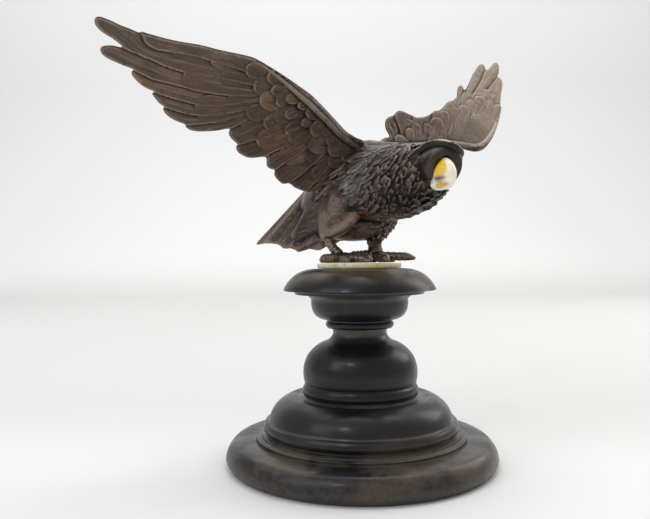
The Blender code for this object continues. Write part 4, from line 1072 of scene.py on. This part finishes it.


# Bronze, from its dark ground to edges that are rubbed and painted bright, painted highlights and sheens,
# and hollows darkened by patina and painted shade
BRONZE_DARK = (0.038, 0.025, 0.019)
BRONZE_BROWN = (0.080, 0.050, 0.036)
STREAK_LIGHT = (0.170, 0.108, 0.072)
STREAK_DARK = (0.016, 0.013, 0.012)
BLOTCH = (0.100, 0.062, 0.043)
OCHRE = (0.200, 0.118, 0.060)
WARM_BROWN = (0.078, 0.048, 0.026)
HACKLE_GREY = (0.042, 0.038, 0.040)
PAINTED_STRAND_SHADE = (0.007, 0.006, 0.006)
PAINTED_STRAND_LIGHT = (0.23, 0.175, 0.15)
PAINTED_SHEEN = (0.62, 0.62, 0.68)
RUBBED_AND_LIT_EDGE = (0.25, 0.185, 0.150)
HOLLOW_PATINA_AND_SHADE = (0.006, 0.0045, 0.004)
PAINTED_LIGHT_LINE = (0.21, 0.155, 0.120)
PAINTED_GROOVE_SHADE = (0.008, 0.0065, 0.006)
PAINTED_GOLD_GLOW = (0.40, 0.325, 0.235)
PAINTED_SHADE_DARK = (0.0060, 0.0052, 0.0055)


def bronze_material():
    n = Nodes("brown_bronze")
    proud, broad, barbs = n.attribute("proud"), n.attribute("broad"), n.attribute("barbs")
    feather, painted_light_shade, warm = n.attribute("feather"), n.attribute("painted_light_shade"), n.attribute("warm")
    strands = n.attribute("strands")
    patches = n.noise(38, 5, 0.6)
    blotches = n.noise(130, 5, 0.65)
    grain = n.noise(900, 3, 0.6)
    specks = n.noise(260, 4, 0.7)
    hair = n.noise(950, 4, 0.6, (7, 1, 1), HACKLE_TURN)
    lanes = n.add("ShaderNodeCombineXYZ")
    n.link(n.times(n.attribute("across"), 1.6), lanes.inputs[0])
    n.link(n.times(n.attribute("travel"), 0.10), lanes.inputs[1])
    streaks = n.add("ShaderNodeTexNoise")
    streaks.inputs["Scale"].default_value = 1.0
    streaks.inputs["Detail"].default_value = 5
    n.link(lanes.outputs[0], streaks.inputs["Vector"])
    streaks = streaks.outputs["Fac"]
    base = n.mix(n.ramp(patches, 0.36, 0.66), BRONZE_DARK, BRONZE_BROWN)
    base = n.mix(n.times(n.ramp(streaks, 0.45, 0.72, 0.0, 0.9), feather), base, STREAK_LIGHT)
    base = n.mix(n.times(n.ramp(streaks, 0.48, 0.25, 0.0, 0.7), feather), base, STREAK_DARK)
    base = n.mix(n.ramp(blotches, 0.35, 0.70, 0.0, 0.55), base, BLOTCH)
    ochre = n.times(n.ramp(warm, 0.3, 1.0, 0.0, 0.90), n.ramp(blotches, 0.35, 0.6, 0.2, 1.0))
    base = n.mix(ochre, base, OCHRE)
    base = n.mix(n.ramp(n.noise(21, 3, 0.5), 0.54, 0.74, 0.0, 0.8), base, WARM_BROWN)
    base = n.mix(n.ramp(strands, 0.45, 1.0, 0.0, 0.55), base, HACKLE_GREY)
    # Painted shade between the fine strands and painted light on them
    base = n.mix(n.times(n.ramp(hair, 0.46, 0.33, 0.0, 0.9), strands), base, PAINTED_STRAND_SHADE)
    base = n.mix(n.times(n.ramp(hair, 0.54, 0.66, 0.0, 0.9), strands), base, PAINTED_STRAND_LIGHT)
    # Painted sheen: a bluish-white painted highlight in patches over the body's strands
    painted_sheen = n.times(n.attribute("painted_sheen"), n.ramp(hair, 0.40, 0.52))
    base = n.mix(painted_sheen, base, PAINTED_SHEEN)
    # Rubbed wear and painted highlight on convex edges
    edge = n.times(n.ramp(proud, 0.1, 0.9), n.ramp(specks, 0.3, 0.65, 0.35, 1.0))
    colour = n.mix(edge, base, RUBBED_AND_LIT_EDGE)
    # Dark patina and painted shade in the hollows
    colour = n.mix(n.ramp(broad, -0.75, -0.03, 1.0, 0.0), colour, HOLLOW_PATINA_AND_SHADE)
    # Painted highlight on proud edges and painted shade in the grooves, from the painted light and shade
    # mark
    light = n.times(n.ramp(painted_light_shade, 0.15, 0.95, 0.0, 0.9), n.ramp(specks, 0.3, 0.6, 0.5, 1.0))
    colour = n.mix(light, colour, PAINTED_LIGHT_LINE)
    colour = n.mix(n.ramp(painted_light_shade, -0.15, -0.95, 0.0, 0.92), colour, PAINTED_GROOVE_SHADE)
    # Painted golden highlight
    colour = n.mix(n.attribute("painted_glow"), colour, PAINTED_GOLD_GLOW)
    # Painted shade: darkens the face, the brow below its rim, the breast and the inner wings
    colour = n.mix(n.attribute("shade"), colour, PAINTED_SHADE_DARK)
    rough = n.maths("ADD", n.ramp(specks, 0.25, 0.75, 0.24, 0.44), n.ramp(broad, -0.9, 0.0, 0.18, 0.0))
    stripes = n.times(n.maths("SINE", barbs), feather)
    normal = n.bump(grain, 0.00010, 0.55)
    normal = n.bump(specks, 0.00030, 0.45, normal)
    normal = n.bump(blotches, 0.0010, 0.5, normal)
    normal = n.bump(stripes, 0.00012, 0.5, normal)
    normal = n.bump(n.times(streaks, feather), 0.0006, 0.5, normal)
    normal = n.bump(n.times(hair, strands), 0.00045, 0.8, normal)
    return n.finish(
        Base_Color=colour, Metallic=0.70, Roughness=rough, Normal=normal,
        Coat_Weight=0.10, Coat_Roughness=0.35,
    )


# Ebonised wood, and the heights between which foot, cap and lower rim are worn
WOOD_BLACK = (0.0034, 0.0034, 0.0046)
WOOD_DARK_BROWN = (0.0105, 0.0090, 0.0088)
SCUFFED = (0.085, 0.062, 0.042)
SPECK = (0.11, 0.10, 0.09)
WORN_RIM = (0.046, 0.034, 0.026)
DUST = (0.09, 0.074, 0.058)
FOOT_WEAR = (0.030, 0.006)
CAP_WEAR = (0.097, 0.104)
RIM_WEAR = (0.013, 0.004)


def wood_material():
    n = Nodes("ebonised_wood")
    position = n.add("ShaderNodeSeparateXYZ")
    n.link(n.place, position.inputs[0])
    height = position.outputs["Z"]
    proud = n.attribute("proud")
    patches = n.noise(26, 5, 0.62)
    fine = n.noise(420, 4, 0.65)
    grain = n.noise(300, 3, 0.5, (1, 1, 0.08))
    wear = n.noise(22, 6, 0.72, (1, 1, 2.2))
    colour = n.mix(n.ramp(patches, 0.35, 0.7), WOOD_BLACK, WOOD_DARK_BROWN)
    scuffed = n.maths("ADD", n.ramp(height, *FOOT_WEAR), n.ramp(height, *CAP_WEAR))
    scuffed = n.times(scuffed, n.ramp(wear, 0.44, 0.58, 0.0, 0.9))
    colour = n.mix(scuffed, colour, SCUFFED)
    colour = n.mix(n.ramp(n.noise(640, 3, 0.6), 0.71, 0.76, 0.0, 0.7), colour, SPECK)
    rim = n.ramp(height, *RIM_WEAR)
    worn = n.times(rim, n.ramp(fine, 0.32, 0.62, 0.25, 1.0))
    colour = n.mix(worn, colour, WORN_RIM)
    dust = n.times(n.ramp(proud, -0.12, -0.5), n.ramp(patches, 0.3, 0.6, 0.3, 1.0))
    colour = n.mix(dust, colour, DUST)
    rough = n.ramp(n.noise(60, 5, 0.6), 0.3, 0.7, 0.30, 0.50)
    normal = n.bump(grain, 0.00010, 0.25)
    normal = n.bump(fine, 0.00010, 0.25, normal)
    return n.finish(
        Base_Color=colour, Roughness=rough, Normal=normal, Specular_IOR_Level=0.30,
        Coat_Weight=0.20, Coat_Roughness=0.20,
    )


# Stone of the disc
STONE_CREAM = (0.86, 0.83, 0.69)
STONE_YELLOW = (0.82, 0.67, 0.30)
STONE_DIRT = (0.30, 0.24, 0.15)


def disc_material():
    n = Nodes("pale_stone")
    patches = n.noise(70, 4, 0.55)
    colour = n.mix(n.ramp(patches, 0.42, 0.62), STONE_CREAM, STONE_YELLOW)
    dirt = n.ramp(n.noise(240, 5, 0.65), 0.55, 0.75)
    colour = n.mix(dirt, colour, STONE_DIRT)
    normal = n.bump(n.noise(500, 3, 0.6), 0.00008, 0.3)
    return n.finish(
        Base_Color=colour, Roughness=0.42, Normal=normal, Subsurface_Weight=0.15, Subsurface_Scale=0.002
    )


# Ivory of the beak and its markings
IVORY = (0.96, 0.91, 0.76)
IVORY_GRAIN = (0.80, 0.64, 0.32)
BILL_YELLOW = (0.86, 0.57, 0.065)
BILL_ORANGE = (0.70, 0.42, 0.06)
MOUTH_PINK = (0.50, 0.31, 0.24)
MOUTH_BROWN = (0.14, 0.06, 0.03)


def beak_material():
    n = Nodes("aged_ivory")
    streak = n.noise(300, 3, 0.5, (1, 1, 0.4))
    colour = n.mix(n.ramp(streak, 0.5, 0.75, 0.0, 0.30), IVORY, IVORY_GRAIN)
    colour = n.mix(n.attribute("tint"), colour, BILL_YELLOW)
    colour = n.mix(n.attribute("orange"), colour, BILL_ORANGE)
    colour = n.mix(n.attribute("mouth"), colour, MOUTH_PINK)
    colour = n.mix(n.attribute("brown"), colour, MOUTH_BROWN)
    normal = n.bump(n.noise(700, 2, 0.5), 0.00005, 0.2)
    return n.finish(
        Base_Color=colour, Roughness=0.30, Normal=normal, Subsurface_Weight=0.1, Subsurface_Scale=0.002,
        Coat_Weight=0.3, Coat_Roughness=0.2,
    )


# Pieces


def relief_marks(mesh):
    """Relief as marks from -2 to 2, for a mesh in the eagle's own parts."""
    proud, broad = relief(mesh)
    return {"proud": np.clip(proud / 0.06, -2, 2), "broad": np.clip(broad / 0.35, -2, 2)}


def finish_piece(mesh, name, node, material):
    """Adds a finished mesh to the scene, in place of the solid of its node."""
    mesh.materials.clear()
    mesh.materials.append(material)
    mesh.shade_smooth()
    obj = add_object(name, mesh)
    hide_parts(node)
    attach(obj, "root")


def finish_carving(mesh, name, node, material):
    """The same for a mesh in the eagle's own parts, which is scaled and set on its soles first."""
    for point in mesh.vertices:
        point.co = Vector(point.co) * PART + Vector((0, 0, SOLES))
    finish_piece(mesh, name, node, material)


def bell(distance, reach, power=2):
    return np.exp(-((distance / reach) ** power))


def rising(values, start, run):
    """0 up to the start, 1 from start + run on, and evenly between."""
    return np.clip((values - start) / run, 0, 1)


def mark_eagle(mesh, shapes):
    """Marks on the casting's points, which drive the looks of its bronze."""
    carried = carry_marks(mesh, shapes)
    points = read_points(mesh)
    x, y, z = points.T
    face = bell(np.linalg.norm(points - FACE_MIDDLE, axis=1), FACE_REACH, 4)
    away = np.array([points - row for row in smooth_rows(BROW, 60)[:, :3]])
    near = np.argmin((away**2).sum(axis=2), axis=0)
    away = away[near, np.arange(len(points))]
    far = np.linalg.norm(away, axis=1)
    brow = far < BROW_REACH
    # Painted highlight along the brow's upper rim, on the side towards the light
    rim = rising(away @ BROW_LIGHT / np.maximum(far, 0.01), 0.86, 0.09) * brow
    # Painted shade on the breast and underside
    breast = rising(-y, 24, 12) * rising(-z, -44, 10)
    # Painted highlight along the tail's crease
    root, tip = (np.array(ends[4:]).mean(axis=0) for ends in (TAIL_ROOTS, TAIL_TIPS))
    run = tip - root
    share = np.clip((points - root) @ run / (run @ run), 0.1, 1)
    off_crease = np.linalg.norm(points - root - np.outer(share, run), axis=1)
    light = np.maximum(rim, 0.9 * bell(off_crease, 2.0) * (carried[:, 0] > 0.5))
    trunk = rising(z, 24, 10) * rising(x, -16, 10)
    roll = smooth_rows(FLANK_ROLL, 40)
    off_roll = np.min([np.linalg.norm(points - row[:3], axis=1) - row[3] for row in roll], axis=0)
    # Spots of painted sheen, a painted highlight on the body
    painted_gleams = [bell(np.linalg.norm(points - spot, axis=1), reach) for *spot, reach in PAINTED_SHEEN_SPOTS]
    marks = relief_marks(mesh)
    marks["feather"] = carried[:, 0]
    marks["barbs"] = (carried[:, 1] + 0.9 * np.abs(carried[:, 2])) * 2 * math.pi / BODY_BARB
    # Painted shade over the face, the brow and the breast, kept off the brow's painted rim highlight
    marks["shade"] = np.maximum(np.maximum(0.93 * face, 0.88 * brow), 0.40 * breast) * (1 - rim)
    marks["painted_sheen"] = np.max(painted_gleams, axis=0)
    # Painted light on the brow rim and tail crease, also painted golden
    marks["painted_light_shade"] = light
    marks["painted_glow"] = 0.85 * light
    marks["strands"] = np.maximum(trunk, 0.65 * (z > 9)) * (1 - face)
    marks["warm"] = bell(np.clip(off_roll, 0, None), 3.0)
    for mark, values in marks.items():
        set_attribute(mesh, mark, values)


def add_eagle(bronze):
    shapes = gather_eagle()
    triangles = EAGLE_TRIANGLES
    grain = CAST_GRAIN
    mesh = fused_mesh("eagle_cast", shapes, grain, triangles)
    reach = 120
    below = box_shapes((-reach,) * 3, (reach, reach, 0))
    mesh = cut(add_object("eagle_cast", mesh), below.mesh("soles"))
    socket = Shapes()
    socket.loft(bill_rings(SOCKET))
    mesh = cut(add_object("eagle_cast", mesh), socket.mesh("socket"))
    mark_eagle(mesh, shapes)
    finish_carving(mesh, "eagle_casting", "eagle", bronze)


def add_wings(bronze):
    for wing, name in ((RIGHT_WING, "right_wing"), (LEFT_WING, "left_wing")):
        mesh, marks = wing_mesh(wing, name)
        marks.update(relief_marks(mesh))
        marks["barbs"] *= 2 * math.pi / WING_BARB
        out = (read_points(mesh) - wing["shoulder"]) @ unit(wing["span"])
        light = 0.5 + 0.5 * marks["painted_light_shade"]
        # Painted golden highlight on the outer wing and along the ridge lines
        marks["painted_glow"] = wing["painted_glow"] * np.clip((out - 35) / 40, 0, 1) * light
        marks["painted_glow"] = np.maximum(marks["painted_glow"], 0.45 * marks.pop("ridge") * np.clip(marks["painted_light_shade"], 0, 1))
        # Painted shade on the inner wing next to the body
        marks["shade"] = 0.28 * np.clip((34 - out) / 20, 0, 1) * (1 - wing["painted_glow"])
        for mark, values in marks.items():
            set_attribute(mesh, mark, values)
        finish_carving(mesh, name, "eagle", bronze)


def add_beak():
    shapes = Shapes()
    shapes.loft(bill_rings(UPPER_BILL))
    shapes.loft(bill_rings(LOWER_BILL))
    mesh = fused_mesh("beak_carving", shapes, BEAK_GRAIN, BEAK_TRIANGLES)
    points = read_points(mesh)
    way = unit(BEAK_WAY)
    forward = (points - np.array(BEAK_ROOT)) @ way
    across, high = points[:, 0], points[:, 2]
    front = np.clip((forward - 1) / 3, 0, 1)

    def spot(x, z, wide, tall):
        return np.exp(-(((across - x) / wide) ** 2 + ((high - z) / tall) ** 2) ** 2) * front

    dent = spot(33.0, 39.0, 3.4, 1.2)
    shift = np.outer(-0.9 * dent, way)
    mesh.vertices.foreach_set("co", (points + shift).ravel())
    mesh.update()
    set_attribute(mesh, "tint", np.clip(spot(33.6, 45.0, 3.5, 5.6) * 2.2, 0, 1))
    set_attribute(mesh, "mouth", np.clip(spot(33.2, 39.0, 3.4, 1.3) * 1.5, 0, 1))
    brown = spot(34.4, 39.1, 2.0, 0.5) + 0.8 * spot(33.4, 37.5, 2.8, 0.35)
    set_attribute(mesh, "brown", np.clip(brown, 0, 1))
    set_attribute(mesh, "orange", np.clip(1.6 * spot(33.8, 35.9, 4.0, 1.3), 0, 1))
    finish_carving(mesh, "carved_beak", "beak", beak_material())


def revolve(outline, sides):
    """Points and faces of a solid of revolution about Z; the outline runs bottom to top."""
    outline = np.asarray(outline, float)
    angles = np.linspace(0, 2 * math.pi, sides, endpoint=False)
    shapes = Shapes()
    rings = [
        np.column_stack([r * np.cos(angles), r * np.sin(angles), np.full(sides, z)]) for r, z in outline
    ]
    shapes.loft(rings)
    return shapes


def bow(start, end, swell, steps):
    start, end = np.array(start, float), np.array(end, float)
    out = np.array([end[1] - start[1], start[0] - end[0]])
    out = out / np.linalg.norm(out)
    return [
        tuple(start + (end - start) * t + out * swell * 4 * t * (1 - t))
        for t in np.linspace(0, 1, steps + 1)
    ]


def plinth_outline():
    """The turned outline in millimetres, with softened arrises, from the underside up."""
    p = [(60.0, 0.0), (71.4, 0.0), (72.6, 0.5)]
    p += bow((73.4, 1.4), (74.9, 4.2), 0.15, 3)
    p += bow((74.9, 4.4), (70.8, 12.4), 0.9, 8)[1:]
    p += bow((70.0, 12.9), (59.0, 14.0), 0.3, 5)
    p += [(58.5, 14.0), (58.5, 15.3), (58.1, 15.6), (56.0, 15.6), (55.6, 15.9)]
    p += [(55.5, 16.8), (55.1, 17.0), (53.3, 17.0)]
    p += bow((52.9, 17.3), (52.9, 23.2), 1.3, 8)
    p += [(51.6, 23.5)]
    p += bow((51.2, 23.8), (39.6, 36.3), 2.4, 14)
    p += [(38.9, 36.4), (33.4, 35.7), (32.2, 36.0)]
    p += bow((31.5, 36.5), (31.3, 42.5), 0.9, 8)
    p += [(30.9, 42.8), (30.9, 43.2)]
    p += bow((31.1, 43.6), (29.9, 57.9), 1.4, 10)
    p += bow((29.9, 57.9), (18.5, 66.7), 1.4, 10)[1:]
    p += bow((18.5, 66.7), (15.0, 71.0), -0.6, 5)[1:]
    p += [(15.1, 72.4), (15.5, 73.7)]
    p += bow((18.0, 73.9), (18.0, 77.8), 1.1, 8)
    p += [(18.0, 78.1)]
    p += bow((19.1, 78.4), (27.1, 86.9), 2.4, 9)
    p += [(27.2, 87.4), (27.2, 90.0)]
    p += bow((27.4, 90.4), (36.0, 92.8), -1.4, 6)
    p += [(36.2, 93.1), (36.2, 94.6), (36.6, 94.8), (42.2, 94.8), (42.7, 95.2)]
    p += bow((42.7, 95.4), (26.4, 106.8), 2.9, 14)[1:]
    p += [(25.6, 106.9), (12.0, 106.9)]
    return p


def add_plinth():
    millimetre = 0.001
    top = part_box("plinth")[1][2]
    outline = [(r * millimetre, min(z * millimetre, top)) for r, z in plinth_outline()]
    mesh = revolve(outline, 220).mesh("turned_plinth")
    proud, _ = relief(mesh)
    set_attribute(mesh, "proud", np.clip(proud / 0.0004, -2, 2))
    finish_piece(mesh, "turned_plinth", "plinth", wood_material())
    mesh.set_sharp_from_angle(angle=math.radians(38))


def add_disc():
    low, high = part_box("disc")
    radius, foot, top = high[0], low[2], high[2]
    edge, middle = 0.0007, 0.006
    outline = [(middle, foot), (radius - edge, foot)]
    outline += bow((radius - edge / 2, foot), (radius - edge / 2, top), edge / 2, 6)
    outline += [(radius - edge, top), (middle, top)]
    mesh = revolve(outline, 120).mesh("pale_disc")
    finish_piece(mesh, "pale_disc", "disc", disc_material())
    mesh.set_sharp_from_angle(angle=math.radians(50))


# Stage, lights and camera


def add_stage():
    """A pale floor that sweeps up into a wall behind the object."""
    reach, bend, high = 3.0, 0.9, 3.5
    back = 1.6
    profile = [(-reach, 0.0), (back, 0.0)]
    for k in range(1, 17):
        turn = math.pi / 2 * k / 16
        profile.append((back + bend * math.sin(turn), bend * (1 - math.cos(turn))))
    profile.append((back + bend, high))
    verts = [(side, y, z) for y, z in profile for side in (-2 * reach, 2 * reach)]
    faces = [(2 * k, 2 * k + 1, 2 * k + 3, 2 * k + 2) for k in range(len(profile) - 1)]
    mesh = bpy.data.meshes.new("floor")
    mesh.from_pydata(verts, [], faces)
    mesh.shade_smooth()
    floor = add_object("floor", mesh)
    floor.location.z = -0.0002
    n = Nodes("pale_floor")
    position = n.add("ShaderNodeSeparateXYZ")
    n.link(n.place, position.inputs[0])
    near = n.mix(n.ramp(position.outputs["Y"], -0.08, 0.16), (0.82, 0.82, 0.81), (0.70, 0.70, 0.69))
    far = n.mix(n.ramp(position.outputs["Y"], 0.25, 1.2), near, (0.675, 0.675, 0.665))
    colour = n.mix(n.ramp(position.outputs["Y"], 1.65, 2.1), far, (0.83, 0.83, 0.82))
    mesh.materials.append(n.finish(Base_Color=colour, Roughness=0.6, Specular_IOR_Level=0.2))


def add_area_light(name, place, aim, size, power, colour=(1, 1, 1)):
    light = bpy.data.lights.new(name, "AREA")
    light.shape = "RECTANGLE"
    light.size, light.size_y = size
    light.energy = power
    light.color = colour
    obj = bpy.data.objects.new(name, light)
    obj.location = place
    way = Vector(aim) - Vector(place)
    obj.rotation_euler = way.to_track_quat("-Z", "Y").to_euler()
    bpy.context.scene.collection.objects.link(obj)


def add_lights():
    world = bpy.data.worlds.new("studio")
    bpy.context.scene.world = world
    world.use_nodes = True
    world.node_tree.nodes["Background"].inputs["Color"].default_value = (0.97, 0.97, 0.98, 1)
    world.node_tree.nodes["Background"].inputs["Strength"].default_value = 0.50
    add_area_light("softbox_top", (0.0, 0.8, 2.9), (0, 0.6, 0), (3.2, 3.2), 38)
    add_area_light("softbox_wall", (0.0, 0.2, 2.6), (0, 2.5, 1.0), (3.2, 1.0), 27)
    add_area_light("softbox_left", (-1.5, -1.0, 1.3), (0, 0, 0.17), (0.9, 1.1), 6, (0.88, 0.94, 1.0))
    add_area_light("spark", (-0.55, -1.1, 1.25), (0, 0, 0.17), (0.22, 0.22), 2.6, (0.90, 0.95, 1.0))
    add_area_light("softbox_right", (1.3, 0.7, 1.0), (0, 0, 0.17), (0.7, 0.9), 6, (1.0, 0.97, 0.93))


def add_camera():
    data = bpy.data.cameras.new("camera")
    data.sensor_width = 36
    data.lens = FOCAL_PIXELS / IMAGE_WIDTH * data.sensor_width
    data.clip_start = 0.01
    camera = bpy.data.objects.new("camera", data)
    camera.location = CAMERA_PLACE
    turn = Euler((CAMERA_TILT, 0, 0)).to_matrix() @ Euler((0, 0, CAMERA_ROLL)).to_matrix()
    camera.rotation_euler = turn.to_euler()
    bpy.context.scene.collection.objects.link(camera)
    bpy.context.scene.camera = camera


add_camera()
add_lights()
add_stage()
add_plinth()
add_disc()
add_beak()
BRONZE = bronze_material()
add_eagle(BRONZE)
add_wings(BRONZE)
bpy.context.scene.view_settings.view_transform = "Standard"
